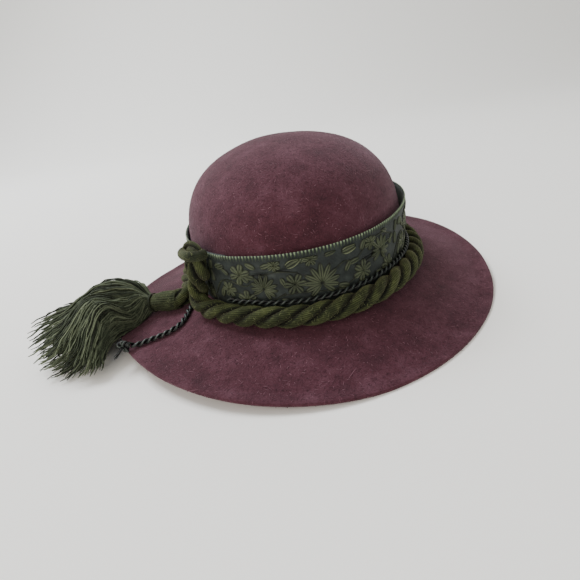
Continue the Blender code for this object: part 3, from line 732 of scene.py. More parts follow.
def stem(relief, marks):
    verts, faces, raised = relief
    faces += strip(len(verts), len(STEM_SECTION), STEM_STEPS)
    line = smooth_route(marks, STEM_STEPS)
    for i, here in enumerate(line):
        ahead = (line[min(i + 1, STEM_STEPS - 1)] - line[max(i - 1, 0)]).normalized()
        for side, lift in STEM_SECTION:
            verts.append(on_ribbon(here.x - ahead.y * side, here.y + ahead.x * side,
                                   THREAD_LIFT * (lift * 0.8 - THREAD_SUNK)))
            # painted light and shade, as for the petals
            raised.append(0.6 * lift)


def flower_relief():
    verts, faces, raised = relief = [], [], []
    repeat = ribbon_lengths[-1] / REPEATS
    for n in range(REPEATS):
        for kind, x, y, size, lean in SPRAY:
            flower(relief, kind, (n * repeat + x / 1000, y / 1000), radians(lean), size / 1000)
        for marks in STEMS:
            stem(relief, [Vector((n * repeat + x / 1000, y / 1000, 0)) for x, y in marks])
    return solid("woven_flowers", verts, faces, raised=raised)


def flower_thread():
    """Jacquard weft in olive: painted lighter on the high middles of the padded floats and painted dark at
    their edges, light and shade painted from the relief's height.
    """
    made, tree, shader = finish("jacquard_flower_thread", 0.55, 0.2, "#cdd6ae", 0.4)
    # how high the relief stands, which paints its tops lighter and its edges dark as light and shade
    raised = add(tree, "ShaderNodeAttribute", attribute_name="raised").outputs["Fac"]
    at = add(tree, "ShaderNodeTexCoord").outputs["Object"]
    cloud = add(tree, "ShaderNodeTexNoise", {"Scale": 70, "Detail": 2}, {"Vector": at})
    soft = add(tree, "ShaderNodeMath", {1: 0.40}, {0: cloud}, operation="MULTIPLY")
    part = add(tree, "ShaderNodeMath", {1: 0.48}, {0: raised, 2: soft}, operation="MULTIPLY_ADD")
    colour = shades(tree, part, ((0.28, "#070906"), (0.42, "#23281e"), (0.66, "#4a513d"), (1.0, "#8a9270")))
    tree.links.new(colour, shader.inputs["Base Color"])
    weft = add(tree, "ShaderNodeTexWave", {"Scale": 420, "Distortion": 2.0, "Detail": 1}, {"Vector": at},
               bands_direction="Z")
    bump = add(tree, "ShaderNodeBump", {"Strength": 0.3, "Distance": 0.0003}, {"Height": weft.outputs[1]})
    tree.links.new(bump.outputs[0], shader.inputs["Normal"])
    return made


woven_flowers = flower_relief()
woven_flowers.data.materials.append(flower_thread())
for piece in (band_ribbon, ladder_edge, woven_flowers):
    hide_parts("floral_band")
    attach(piece, "root")


# Rope: three soft strands of wool yarn laid together, 15 mm thick. It goes once round the band's foot,
# resting on the brim, and its end bends out to the tassel. Its mesh is grown below, with the knot's.
ROPE_RADIUS = 0.0076
ROPE_LAY = -0.0500          # length in which a strand goes once round the rope, left-handed
ROPE_STRANDS = 3
STRAND_RADIUS = 0.0038
ROPE_YARNS = 17             # yarns that show round one strand
YARN_DEPTH = 0.085          # groove between two yarns, as a share of the strand's radius
YARN_LAY = 0.0620           # length in which the yarns go once round their strand, against the rope's lay
ROPE_START = radians(237)
ROPE_END = radians(563)
ROPE_STEP = radians(1.5)
ROPE_BEND = 0.0094
BEND_STEPS = 9
ROPE_RIDE = 0.0022
ROPE_AT = 0.35              # height of the rope's touch on the ribbon, as a share of its width
TASSEL_HEADING = radians(154)


def seat_height(turn, out, radius):
    """Height of a round piece's centre when it just rests on the brim there."""
    reach = radius + CLEARANCE
    best = 0.0
    for i in range(-8, 9):
        side = reach * i / 8
        here = max(out + side, 0.0)
        fillet = max(0.0, CROWN_FILLET - here)
        best = max(best, brim_top(turn, here) + fillet + sqrt(reach ** 2 - side ** 2))
    return best


def rope_out(turn):
    """Distance of the rope's centre from the crown's wall."""
    return band_outside(turn, ROPE_AT) - oval(turn) + CLEARANCE + ROPE_RADIUS


def rope_centre(turn):
    """The soft rope rides up a little where it is drawn tight against the band, at the front right."""
    out = rope_out(turn)
    ride = ROPE_RIDE * smooth(1 - abs(degrees(turn) % 360 - 312) / 50)
    return place(turn, oval(turn) + out, seat_height(turn, out, ROPE_RADIUS) + ride)


def from_crown(at):
    """Turn of a place, and its distance out from the crown's wall."""
    turn = atan2(at.y, at.x - CROWN_AT)
    return turn, sqrt((at.x - CROWN_AT) ** 2 + at.y ** 2) - oval(turn)


def rope_route():
    count = round((ROPE_END - ROPE_START) / ROPE_STEP)
    ring = [rope_centre(ROPE_START + (ROPE_END - ROPE_START) * i / count) for i in range(count + 1)]
    ahead = ring[-1] - ring[-2]
    heading = atan2(ahead.y, ahead.x)
    bend = (heading - TASSEL_HEADING) % (2 * pi)
    centre = ring[-1] + Vector((sin(heading), -cos(heading), 0)) * ROPE_BEND
    height = ring[-1].z
    for i in range(1, BEND_STEPS + 1):
        now = heading - bend * i / BEND_STEPS
        at = centre + Vector((-sin(now), cos(now), 0)) * ROPE_BEND
        at.z = height + (seat_height(*from_crown(at), ROPE_RADIUS) - height) * smooth(i / BEND_STEPS)
        ring.append(at)
    return ring


def strands_tree():
    """Lays strands round a curve: each one is a helix whose section shows its yarns."""
    tree, given = start_group(
        "laid_strands", Int=["Strands", "Yarns", "Facets"],
        Float=["Strand Radius", "Centre Radius", "Lay", "Phase", "Yarn Depth", "Yarn Lay", "Step"])
    route = add(tree, "GeometryNodeResampleCurve", mode="LENGTH",
                links={"Curve": given["Geometry"], "Length": given["Step"]})
    copies = add(tree, "GeometryNodeDuplicateElements", domain="SPLINE",
                 links={0: route, "Amount": given["Strands"]})
    run = add(tree, "GeometryNodeSplineParameter").outputs["Length"]
    width = add(tree, "GeometryNodeInputRadius")
    spot = add(tree, "GeometryNodeInputPosition")
    tangent = add(tree, "GeometryNodeInputTangent")
    normal = add(tree, "GeometryNodeInputNormal")
    across = add(tree, "ShaderNodeVectorMath", operation="CROSS_PRODUCT", links={0: tangent, 1: normal})
    each = add(tree, "ShaderNodeMath", operation="DIVIDE",
               links={0: copies.outputs["Duplicate Index"], 1: given["Strands"]})
    rounds = add(tree, "ShaderNodeMath", operation="DIVIDE", links={0: run, 1: given["Lay"]})
    apart = add(tree, "ShaderNodeMath", operation="ADD", links={0: rounds, 1: each})
    turns = add(tree, "ShaderNodeMath", operation="ADD", links={0: apart, 1: given["Phase"]})
    angle = add(tree, "ShaderNodeMath", {1: 2 * pi}, {0: turns}, operation="MULTIPLY")
    reach = add(tree, "ShaderNodeMath", operation="MULTIPLY", links={0: given["Centre Radius"], 1: width})
    aside = []
    for direction, wave in ((normal, "COSINE"), (across, "SINE")):
        share = add(tree, "ShaderNodeMath", operation=wave, links={0: angle})
        length = add(tree, "ShaderNodeMath", operation="MULTIPLY", links={0: share, 1: reach})
        aside.append(add(tree, "ShaderNodeVectorMath", operation="SCALE",
                         links={0: direction, "Scale": length}))
    offset = add(tree, "ShaderNodeVectorMath", operation="ADD", links=dict(enumerate(aside)))
    strand = copies
    for name, value, kind in (("hub", spot, "FLOAT_VECTOR"), ("wide", width, "FLOAT")):
        strand = add(tree, "GeometryNodeStoreNamedAttribute", {"Name": name},
                     {"Geometry": strand, "Value": value}, data_type=kind, domain="POINT")
    helix = add(tree, "GeometryNodeSetPosition", links={"Geometry": strand, "Offset": offset})
    measured = add(tree, "GeometryNodeStoreNamedAttribute", {"Name": "run"},
                   {"Geometry": helix, "Value": run}, data_type="FLOAT", domain="POINT")
    wound = add(tree, "ShaderNodeMath", operation="DIVIDE", links={0: run, 1: given["Yarn Lay"]})
    twist = add(tree, "ShaderNodeMath", {1: 2 * pi}, {0: wound}, operation="MULTIPLY")
    tilted = add(tree, "GeometryNodeSetCurveTilt", links={"Curve": measured, "Tilt": twist})
    sides = add(tree, "ShaderNodeMath", operation="MULTIPLY", links={0: given["Yarns"], 1: given["Facets"]})
    section = add(tree, "GeometryNodeCurvePrimitiveCircle", mode="RADIUS",
                  links={"Resolution": sides, "Radius": given["Strand Radius"]})
    index = add(tree, "GeometryNodeInputIndex")
    yarn = add(tree, "ShaderNodeMath", operation="DIVIDE", links={0: index, 1: given["Facets"]})
    ridges = add(tree, "ShaderNodeMath", {1: pi}, {0: yarn}, operation="MULTIPLY")
    wave = add(tree, "ShaderNodeMath", operation="SINE", links={0: ridges})
    crest = add(tree, "ShaderNodeMath", operation="ABSOLUTE", links={0: wave})
    groove = add(tree, "ShaderNodeMath", {0: 1.0}, {1: crest}, operation="SUBTRACT")
    dip = add(tree, "ShaderNodeMath", operation="MULTIPLY", links={0: groove, 1: given["Yarn Depth"]})
    left = add(tree, "ShaderNodeMath", {0: 1.0}, {1: dip}, operation="SUBTRACT")
    drawn_in = add(tree, "ShaderNodeVectorMath", operation="SCALE", links={0: spot, "Scale": left})
    ridged = add(tree, "GeometryNodeSetPosition", links={"Geometry": section, "Position": drawn_in})
    for name, value in (("crest", crest), ("yarn", yarn)):
        ridged = add(tree, "GeometryNodeStoreNamedAttribute", {"Name": name},
                     {"Geometry": ridged, "Value": value}, data_type="FLOAT", domain="POINT")
    tube = add(tree, "GeometryNodeCurveToMesh", {"Fill Caps": True},
               {"Curve": tilted, "Profile Curve": ridged, "Scale": width})
    hub = add(tree, "GeometryNodeInputNamedAttribute", {"Name": "hub"}, data_type="FLOAT_VECTOR")
    wide = add(tree, "GeometryNodeInputNamedAttribute", {"Name": "wide"}, data_type="FLOAT")
    # how far out from the line's middle each point stands; the materials paint shade and highlight from it
    away = add(tree, "ShaderNodeVectorMath", operation="DISTANCE", links={0: spot, 1: hub})
    radii = add(tree, "ShaderNodeMath", operation="ADD",
                links={0: given["Centre Radius"], 1: given["Strand Radius"]})
    full = add(tree, "ShaderNodeMath", operation="MULTIPLY", links={0: radii, 1: wide})
    outward = add(tree, "ShaderNodeMath", operation="DIVIDE", links={0: away.outputs["Value"], 1: full})
    known = add(tree, "GeometryNodeStoreNamedAttribute", {"Name": "outward"},
                {"Geometry": tube, "Value": outward}, data_type="FLOAT", domain="POINT")
    return end_group(tree, add(tree, "GeometryNodeSetShadeSmooth", links={"Geometry": known}), given)


def spun_wool(name, low, middle, high):
    """Soft spun wool yarn: matt, with painted shade between the yarns and strands, and fine hairs along each
    yarn.
    """
    made, tree, shader = finish(name, 0.93, 0.28, "#c9c79a", 0.45)
    crest, run, yarn, outward = [add(tree, "ShaderNodeAttribute", attribute_name=mark).outputs["Fac"]
                                 for mark in ("crest", "run", "yarn", "outward")]
    lengthwise = add(tree, "ShaderNodeMath", {1: 160.0}, {0: run}, operation="MULTIPLY")
    crosswise = add(tree, "ShaderNodeMath", {1: 2.4}, {0: yarn}, operation="MULTIPLY")
    line = add(tree, "ShaderNodeCombineXYZ", links={0: lengthwise, 1: crosswise})
    hair = add(tree, "ShaderNodeTexNoise", {"Scale": 1.0, "Detail": 3, "Roughness": 0.7}, {"Vector": line})
    at = add(tree, "ShaderNodeTexCoord").outputs["Object"]
    cloud = add(tree, "ShaderNodeTexNoise", {"Scale": 90, "Detail": 2}, {"Vector": at})
    height = add(tree, "ShaderNodeMath", {1: 0.55}, {0: hair, 2: cloud}, operation="MULTIPLY_ADD")
    # painted shade: darker in the grooves between the yarns, lighter on their crests
    share = add(tree, "ShaderNodeMath", {1: 0.42}, {0: crest, 2: height}, operation="MULTIPLY_ADD")
    half = add(tree, "ShaderNodeMath", {1: 0.62}, {0: share}, operation="MULTIPLY")
    # painted shade: darker deep in the lay, towards the rope's middle, where the strands shade each other
    lay_shade = add(tree, "ShaderNodeMapRange", {1: 0.66, 2: 0.90, 3: 0.12, 4: 1.0}, {0: outward})
    seen = add(tree, "ShaderNodeMath", links={0: half, 1: lay_shade}, operation="MULTIPLY")
    colour = shades(tree, seen, ((0.10, "#030402"), (0.34, low), (0.62, middle), (0.86, high)))
    tree.links.new(colour, shader.inputs["Base Color"])
    bump = add(tree, "ShaderNodeBump", {"Strength": 0.6, "Distance": 0.0004}, {"Height": hair})
    tree.links.new(bump.outputs[0], shader.inputs["Normal"])
    return made


laid_strands = strands_tree()
rope_line = rope_route()


# Knot: the rope's start turns up over the band, folds over and comes down again, and its other strand
# wraps it once near the top. The same soft yarn, with painted shade on the wrap: its colours painted darker.
KNOT_RADIUS = 0.0074
WRAP_RADIUS = 0.003588
RISER_STEPS = 90
KNOT_RISER = (
    # turn in degrees, distance off the ribbon in knot radii, share of the ribbon's width, thickness
    (225.2, 1.62, 0.030, 1.0), (221.8, 1.50, 0.180, 1.0), (222.4, 1.35, 0.380, 1.04),
    (225.2, 1.22, 0.560, 0.96), (228.0, 1.20, 0.740, 1.06), (229.0, 1.16, 0.920, 0.82),
    (227.8, 1.00, 1.060, 0.60), (224.0, 0.85, 1.120, 0.58), (219.8, 0.78, 1.060, 0.62),
    (217.6, 0.78, 0.920, 0.60), (217.2, 0.82, 0.760, 0.70), (217.2, 0.84, 0.600, 0.72),
    (217.2, 0.86, 0.460, 0.74),
)
KNOT_WRAP = (
    # turn in degrees, distance off the ribbon in knot radii, share of the ribbon's width
    (231.4, 0.50, 1.040), (231.0, 1.25, 1.050), (228.2, 1.80, 1.060), (223.8, 1.90, 1.045),
    (219.8, 1.60, 1.015), (217.0, 1.10, 0.990), (216.6, 0.60, 1.000),
)


def knot_point(degree, stand_off, height):
    turn = radians(degree)
    radius = band_outside(turn, min(max(height, 0.0), 1.0)) + CLEARANCE + stand_off * KNOT_RADIUS
    return place(turn, radius, band_height(turn, height))


def laid(name, line, widths=None, strands=1, centre_radius=0.0, lay=ROPE_LAY, phase=0.0, **more):
    """Strands laid round a line, as one mesh."""
    return grown(name, route_curve(name + "_route", [line], [widths] if widths else None), laid_strands,
                 strands=strands, centre_radius=centre_radius, lay=lay, phase=phase, **more)


back = (rope_line[0] - rope_line[1]).normalized()
riser = [rope_line[0], rope_line[0] + back * KNOT_RADIUS] + [knot_point(*row[:3]) for row in KNOT_RISER]
riser_widths = [1.0, 1.0] + [row[3] for row in KNOT_RISER]
rising = smooth_route(riser, RISER_STEPS)[:0:-1]
rising_widths = smooth_route(riser_widths, RISER_STEPS)[:0:-1]
rope = laid("rope_and_knot_strands", rising + rope_line, rising_widths + [1.0] * len(rope_line),
            strands=ROPE_STRANDS, strand_radius=STRAND_RADIUS, centre_radius=ROPE_RADIUS - STRAND_RADIUS,
            yarn_depth=YARN_DEPTH, yarn_lay=YARN_LAY, step=0.0018, yarns=ROPE_YARNS, facets=4,
            material=spun_wool("spun_wool_olive", "#0b0d07", "#282e19", "#515834"))
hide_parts("twisted_rope", "rope_knot")
# painted shade: the wrap's colours are the rope's, painted darker
knot_wrap = laid("knot_wrap", smooth_route([knot_point(*row) for row in KNOT_WRAP], 40),
                 strand_radius=WRAP_RADIUS, yarn_depth=YARN_DEPTH * 0.8, yarn_lay=0.09, step=0.0010, yarns=22,
                 facets=4, material=spun_wool("spun_wool_knot", "#090b07", "#21271a", "#454c35"))
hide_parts("rope_knot")
for piece in (rope, knot_wrap):
    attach(piece, "root")


# Tassel: some eight hundred yarns bound into a round neck, which fan out over the brim's edge and hang
# down to the table, their cut ends loose. Dark olive wool, each yarn of its own shade.
NECK_RADIUS = 0.0080
NECK_LENGTH = 0.0210
NECK_TUCK = 0.0050          # how far the neck's yarns run back into the rope's end
NECK_STEPS = 28
WAIST_SHARE = 0.80
WAIST_RADIUS = NECK_RADIUS * WAIST_SHARE
BINDING_WIRE = 0.0009
BINDING_SEAT = 0.965
SKIRT_LENGTH = 0.1050
SKIRT_PUFF = 0.0310
SKIRT_FULLEST = 0.34
SKIRT_TIP = 0.0075
SKIRT_LOFT = 0.0175
SKIRT_DROOP = 0.0340
SKIRT_OVERHANG = 0.0060
SKIRT_RISE = 0.45           # under 1, as the yarns spring up from their binding
SKIRT_ROUND = 0.4           # share of the run in which the round bundle spreads flat
SKIRT_STRAIGHT = 0.80       # how far the inner yarns cut straight across the skirt's curve
SKIRT_BRIDGE = 0.0070       # how far the top yarns bridge the step at the brim's edge
SKIRT_FLATTER = 0.55        # how much lower the front yarns arch than the back ones
SKIRT_CREST = 0.0080        # how much higher the back yarns stand just past their binding
SKIRT_YARNS = 820
YARN_RADIUS = 0.00060
YARN_POINTS = 26
YARN_DRIFT = 0.0014         # how far a yarn wanders up and down over its run
YARN_CRIMP = 0.0004
SKIRT_FRAY = 0.26           # how much shorter the shortest yarns are, as a share of the longest
UNCUT_EVERY = 150           # one yarn in so many was never cut, and its end turns back in a loop
UNCUT_STEPS = 6
UNCUT_AWAY = Vector((0.0009, -0.0004, 0.0002))
NECK_SHAPE = ((0.0, 0.86), (0.12, 0.97), (0.5, 1.02), (0.8, 0.90), (0.93, WAIST_SHARE), (1.0, WAIST_SHARE))
SKIRT_GUIDES = (
    ((0.00, 0.00), (-0.11, -0.15), (-0.22, -0.26), (-0.25, -0.45), (-0.24, -0.64)),
    ((0.00, 0.00), (-0.15, -0.05), (-0.30, -0.18), (-0.38, -0.41), (-0.42, -0.65)),
    ((0.00, 0.00), (-0.20, 0.02), (-0.44, -0.03), (-0.64, -0.22), (-0.76, -0.50)),
    ((0.00, 0.00), (-0.19, 0.15), (-0.46, 0.22), (-0.76, 0.12), (-0.96, -0.12)),
    ((0.00, 0.00), (-0.14, 0.24), (-0.35, 0.46), (-0.63, 0.56), (-0.91, 0.55)),
)


def skirt_fullness(run):
    waist = 2 * WAIST_RADIUS
    if run < SKIRT_FULLEST:
        return waist + (SKIRT_PUFF - waist) * smooth(run / SKIRT_FULLEST) ** SKIRT_RISE
    past = (run - SKIRT_FULLEST) / (1 - SKIRT_FULLEST)
    return SKIRT_PUFF + (SKIRT_TIP - SKIRT_PUFF) * past ** 1.2


def drape_height(at):
    """Height of what the skirt lies on: the brim, then the fall from its edge to the table."""
    turn, out = from_crown(at)
    past = out - brim_width(turn)
    if past <= 0:
        return brim_top(turn, max(out, 0.0))
    return brim_top(turn, brim_width(turn)) * (1 - smooth((past - SKIRT_OVERHANG) / SKIRT_DROOP))


def skirt_point(across, run):
    rows = [along([Vector((*p, 0.0)) for p in guide], run) for guide in SKIRT_GUIDES]
    return along(rows, across) * SKIRT_LENGTH


tassel_heading = (rope_line[-1] - rope_line[-2]).normalized()
neck_start = rope_line[-1] + tassel_heading * CLEARANCE
ahead = neck_start + tassel_heading * NECK_LENGTH
neck_widest = max(NECK_RADIUS, WAIST_RADIUS + CLEARANCE + 2 * BINDING_WIRE)
binding_at = Vector((ahead.x, ahead.y, seat_height(*from_crown(ahead), neck_widest)))
neck_axis = (binding_at - neck_start).normalized()
neck_side = neck_axis.cross(Vector((0, 0, 1))).normalized()
neck_lift = neck_side.cross(neck_axis)


def skirt_yarn(across, level, length, stray, dice):
    """One yarn from the binding to its end: across the skirt, up through its thickness, and its length."""
    route = []
    aside, aside_at, drift, drift_at, ripple_at, crimp_at = [dice.uniform(-1, 1) for _ in range(8)][:6]
    crimp = dice.uniform(90, 130)
    for i in range(YARN_POINTS):
        run = i / (YARN_POINTS - 1) * length
        bound = (1 - run) ** 14             # how firmly the binding still holds it
        sideways = across + stray * aside * sin(run * 5 + aside_at * 3) * run
        sideways += 0.006 * sin(run * crimp * 0.35 + ripple_at * 9) * smooth(run * 3)
        sideways = min(max(sideways, 0.0), 1.0)
        middle = 1 - (2 * sideways - 1) ** 4
        spread = smooth(run / SKIRT_ROUND)
        edge = 1 - (1 - (1 - abs(2 * sideways - 1) ** 5) ** 0.5) * spread
        ground = skirt_point(sideways, run).lerp(skirt_point(sideways, 1.0) * run, SKIRT_STRAIGHT * middle)
        start = neck_side * (2 * across - 1) * WAIST_RADIUS * 0.92 * sin(pi * (0.15 + 0.7 * level))
        at = binding_at + ground + start * bound
        base = drape_height(at) + CLEARANCE + YARN_RADIUS
        full = SKIRT_TIP + (skirt_fullness(run) - SKIRT_TIP) * (1 - (2 * sideways - 1) ** 4 * spread)
        full = (full + SKIRT_LOFT * smooth(run) * smooth(sideways * 1.6)) * edge
        front = 1 - smooth((sideways - 0.05) / 0.75)
        height = base + level * max(full - 2 * YARN_RADIUS, 0.002)
        flat = smooth(run / 0.25) * (1 - smooth((run - 0.28) / 0.30))
        height -= SKIRT_FLATTER * front * level * full * flat
        bridge = smooth((run - 0.30) / 0.22) * (1 - smooth((run - 0.50) / 0.45))
        height += level * SKIRT_BRIDGE * edge * front * bridge
        height += level * SKIRT_CREST * (1 - front) * smooth(run / 0.12) * (1 - smooth((run - 0.18) / 0.35))
        height += YARN_DRIFT * drift * sin(run * 7 + drift_at * 3) * smooth(run * 4)
        height += YARN_CRIMP * sin(run * crimp * 0.4 + crimp_at * 9) * smooth(run * 3)
        bulge = sqrt(max(0.0, 1 - (2 * across - 1) ** 2))
        knot = binding_at.z + (2 * level - 1) * WAIST_RADIUS * 0.95 * bulge
        at.z = max(height + (knot - height) * bound, base * (1 - bound) + bound * knot)
        route.append(at)
    return route


def yarns_tree():
    """Thin round yarns along curves, each with its own shade."""
    tree, given = start_group("loose_yarns", Float=["Radius"], Int=["Sides", "Seed"])
    shade = add(tree, "FunctionNodeRandomValue", links={"Seed": given["Seed"]}, data_type="FLOAT")
    shaded = add(tree, "GeometryNodeStoreNamedAttribute", {"Name": "shade"},
                 {"Geometry": given["Geometry"], "Value": shade.outputs["Value"]},
                 data_type="FLOAT", domain="CURVE")
    section = add(tree, "GeometryNodeCurvePrimitiveCircle", mode="RADIUS",
                  links={"Resolution": given["Sides"], "Radius": given["Radius"]})
    width = add(tree, "GeometryNodeInputRadius")
    tube = add(tree, "GeometryNodeCurveToMesh", {"Fill Caps": True},
               {"Curve": shaded, "Profile Curve": section, "Scale": width})
    return end_group(tree, add(tree, "GeometryNodeSetShadeSmooth", links={"Geometry": tube}), given)


def loose_wool(name, low, middle, high):
    """Single wool yarns: matt, each of its own shade, with a fine twist."""
    made, tree, shader = finish(name, 0.82, 0.25, "#c3c8a0", 0.4)
    shade = add(tree, "ShaderNodeAttribute", attribute_name="shade").outputs["Fac"]
    at = add(tree, "ShaderNodeTexCoord").outputs["Object"]
    cloud = add(tree, "ShaderNodeTexNoise", {"Scale": 260, "Detail": 2}, {"Vector": at})
    own = add(tree, "ShaderNodeMath", {1: 0.6}, {0: shade}, operation="MULTIPLY")
    share = add(tree, "ShaderNodeMath", {1: 0.45}, {0: cloud, 2: own}, operation="MULTIPLY_ADD")
    colour = shades(tree, share, ((0.25, low), (0.5, middle), (0.8, high)))
    tree.links.new(colour, shader.inputs["Base Color"])
    bump = add(tree, "ShaderNodeBump", {"Strength": 0.4, "Distance": 0.0003}, {"Height": cloud})
    tree.links.new(bump.outputs[0], shader.inputs["Normal"])
    return made


loose_yarns = yarns_tree()
dice = random.Random(41)
yarn_routes, yarn_widths = [], []
for i in range(SKIRT_YARNS):
    across = (i + dice.random()) / SKIRT_YARNS
    level = 1 - dice.random() ** 1.5 if i % 3 else dice.random()
    length = 1 - SKIRT_FRAY * dice.random() ** 0.6
    stray = dice.choice((0.02, 0.03, 0.03, 0.07, 0.12))
    yarn_routes.append(skirt_yarn(across, level, length, stray, dice))
    if i % UNCUT_EVERY == UNCUT_EVERY // 3:
        for k in range(1, UNCUT_STEPS + 1):
            turned = k - UNCUT_STEPS - 1
            yarn_routes[-1][turned] = yarn_routes[-1][-UNCUT_STEPS - 1 - k] + UNCUT_AWAY * k
    size = dice.uniform(0.75, 1.2)
    yarn_widths.append([size] * (YARN_POINTS - 2) + [size * 0.85, size * 0.45])
tassel_skirt = grown("tassel_skirt", route_curve("skirt_routes", yarn_routes, yarn_widths), loose_yarns,
                     radius=YARN_RADIUS, sides=4, seed=7,
                     material=loose_wool("loose_wool_dark_olive", "#1b2018", "#424a39", "#666e57"))
neck_from = neck_start - neck_axis * NECK_TUCK
tassel_neck = laid("tassel_neck", [neck_from.lerp(binding_at, i / NECK_STEPS) for i in range(NECK_STEPS + 1)],
                   [eased(NECK_SHAPE, i / NECK_STEPS) for i in range(NECK_STEPS + 1)],
                   strand_radius=NECK_RADIUS, yarn_depth=0.11, yarn_lay=0.3, step=0.0009, yarns=34, facets=4,
                   material=spun_wool("spun_wool_neck", "#0a0c07", "#22281b", "#4d553b"))
for piece in (tassel_skirt, tassel_neck):
    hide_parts("tassel")
    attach(piece, "root")


# Fuzz: short wool hairs that stand out of the rope, the knot and the tassel's neck, of the same olive.
FUZZ_HAIRS = 15000          # on the rope and its knot
ROPE_AREA = 0.062           # square metres of yarn surface on them
FUZZ_LENGTH = 0.0026
FUZZ_THICKNESS = 0.00010

fuzz_olive = single_fibres("olive_wool_fuzz", 0.9, 0.2, "#c9c79a",
                           (0.0, "#1a1f12"), (0.6, "#3a4228"), (1.0, "#7a8058"))
fuzz_hair = fibre("fuzz_hair", 0.28, 3)
for yarn_piece, node, slot in ((rope, "twisted_rope", "olive_yarn"), (knot_wrap, "rope_knot", "olive_yarn"),
                               (tassel_neck, "tassel", "dark_olive_yarn")):
    ground = bpy.data.objects.new("fuzz_ground", yarn_piece.data.copy())
    bpy.context.scene.collection.objects.link(ground)
    fuzz = grown(yarn_piece.name + "_fuzz", ground, scattered_fibres, fibre=fuzz_hair,
                 density=FUZZ_HAIRS / ROPE_AREA, length=FUZZ_LENGTH, thickness=FUZZ_THICKNESS, tip_up=0.5,
                 lift=0.0002, seed=17, material=fuzz_olive)
    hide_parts(node)
    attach(fuzz, "root")
bpy.data.objects.remove(fuzz_hair, do_unlink=True)


# Binding: a waxed thread wound three times round the tassel's waist and drawn tight.
BINDING_TURNS = 3
TURN_STEPS = 28

binding_centre = neck_start.lerp(binding_at, BINDING_SEAT)
coil = []
for i in range(BINDING_TURNS * TURN_STEPS + 1):
    turn = 2 * pi * i / TURN_STEPS
    shift = (i / (BINDING_TURNS * TURN_STEPS) - 0.5) * BINDING_WIRE * 2.2
    radius = WAIST_RADIUS + CLEARANCE + BINDING_WIRE * 0.7
    coil.append(binding_centre + neck_axis * shift + (neck_side * cos(turn) + neck_lift * sin(turn)) * radius)
tassel_thread = grown("tassel_thread", route_curve("thread_route", [coil]), loose_yarns,
                      radius=BINDING_WIRE * 0.55, sides=8, seed=3,
                      material=loose_wool("waxed_thread", "#0a0d09", "#151a12", "#23291c"))
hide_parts("tassel_binding")
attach(tassel_thread, "root")


# Thin cord: two plies of green-black rayon twisted together, 4 mm thick. It lies on the rope's inner
# shoulder against the band, all the way round.
CORD_RADIUS = 0.0020
CORD_LAY = -0.0106          # length in which a ply goes once round the cord, left-handed
CORD_START = radians(238)
CORD_END = radians(562)
CORD_STEPS = 200


def cord_route():
    route = []
    for i in range(CORD_STEPS + 1):
        turn = CORD_START + (CORD_END - CORD_START) * i / CORD_STEPS
        out = band_outside(turn, ROPE_AT) + CLEARANCE + CORD_RADIUS
        beside = rope_out(turn) + oval(turn) - out
        reach = ROPE_RADIUS + CORD_RADIUS + CLEARANCE
        route.append(place(turn, out, rope_centre(turn).z + sqrt(reach ** 2 - beside ** 2)))
    return route


def twisted_rayon():
    """Lustrous rayon cord: nearly black green, with a painted highlight along the outer crown of each ply and
    painted shade between its plies and yarns.
    """
    made, tree, shader = finish("twisted_rayon", 0.42, 0.0, "#c4d0c6", 0.3, specular=0.30)
    shader.inputs["Coat Weight"].default_value = 0.06
    shader.inputs["Coat Roughness"].default_value = 0.2
    crest = add(tree, "ShaderNodeAttribute", attribute_name="crest").outputs["Fac"]
    outward = add(tree, "ShaderNodeAttribute", attribute_name="outward").outputs["Fac"]
    # painted highlight where a ply stands furthest out, and painted shade nearer the cord's middle
    ply = add(tree, "ShaderNodeMapRange", {1: 0.80, 2: 1.0, 3: 0.0, 4: 0.75}, {0: outward})
    part = add(tree, "ShaderNodeMath", {1: 0.25}, {0: crest, 2: ply}, operation="MULTIPLY_ADD")
    colour = shades(tree, part, ((0.1, "#020303"), (0.55, "#0b0f0e"), (0.82, "#434c46"), (1.0, "#6e786f")))
    tree.links.new(colour, shader.inputs["Base Color"])
    return made


rayon = twisted_rayon()


def two_plies(name, line, step, facets, ply=0.52, core=0.48, lay=CORD_LAY, phase=0.0):
    """Thin cord along a line, its plies and the way they stand off its middle as shares of its radius."""
    return laid(name, line, strands=2, strand_radius=CORD_RADIUS * ply, centre_radius=CORD_RADIUS * core,
                lay=lay, phase=phase, yarn_depth=0.10, yarn_lay=0.012, step=step, yarns=7, facets=facets,
                material=rayon)


thin_ring = two_plies("cord_ring", cord_route(), 0.0008, 3)
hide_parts("thin_cord")
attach(thin_ring, "root")


# Free end: the thin cord comes out under the knot and runs limp over the brim to the overhand knot tied
# in its end, where its plies fray.
CORD_TAIL = (
    # turn in degrees, share of the brim's width
    (214.7, 0.274), (217.4, 0.341), (219.6, 0.445), (219.7, 0.546), (218.7, 0.651),
    (217.4, 0.750), (216.3, 0.849), (215.6, 0.937), (215.3, 1.015),
)
TAIL_TUCK = (213.0, 0.215)  # the cord's start, tucked under the rope
TAIL_STEPS = 26
END_KNOT_RADIUS = 0.0044
TIE_SIZE = 0.00128          # the overhand knot's loops, against its unit curve
TIE_POINTS = 49
END_TUFT = 0.0110
TUFT_SPREAD = 0.0022
TUFT_POINTS = 8
FRAY_THREADS = 4
TUFT_DIRECTION = Vector((-0.35, -1.0, -0.30))

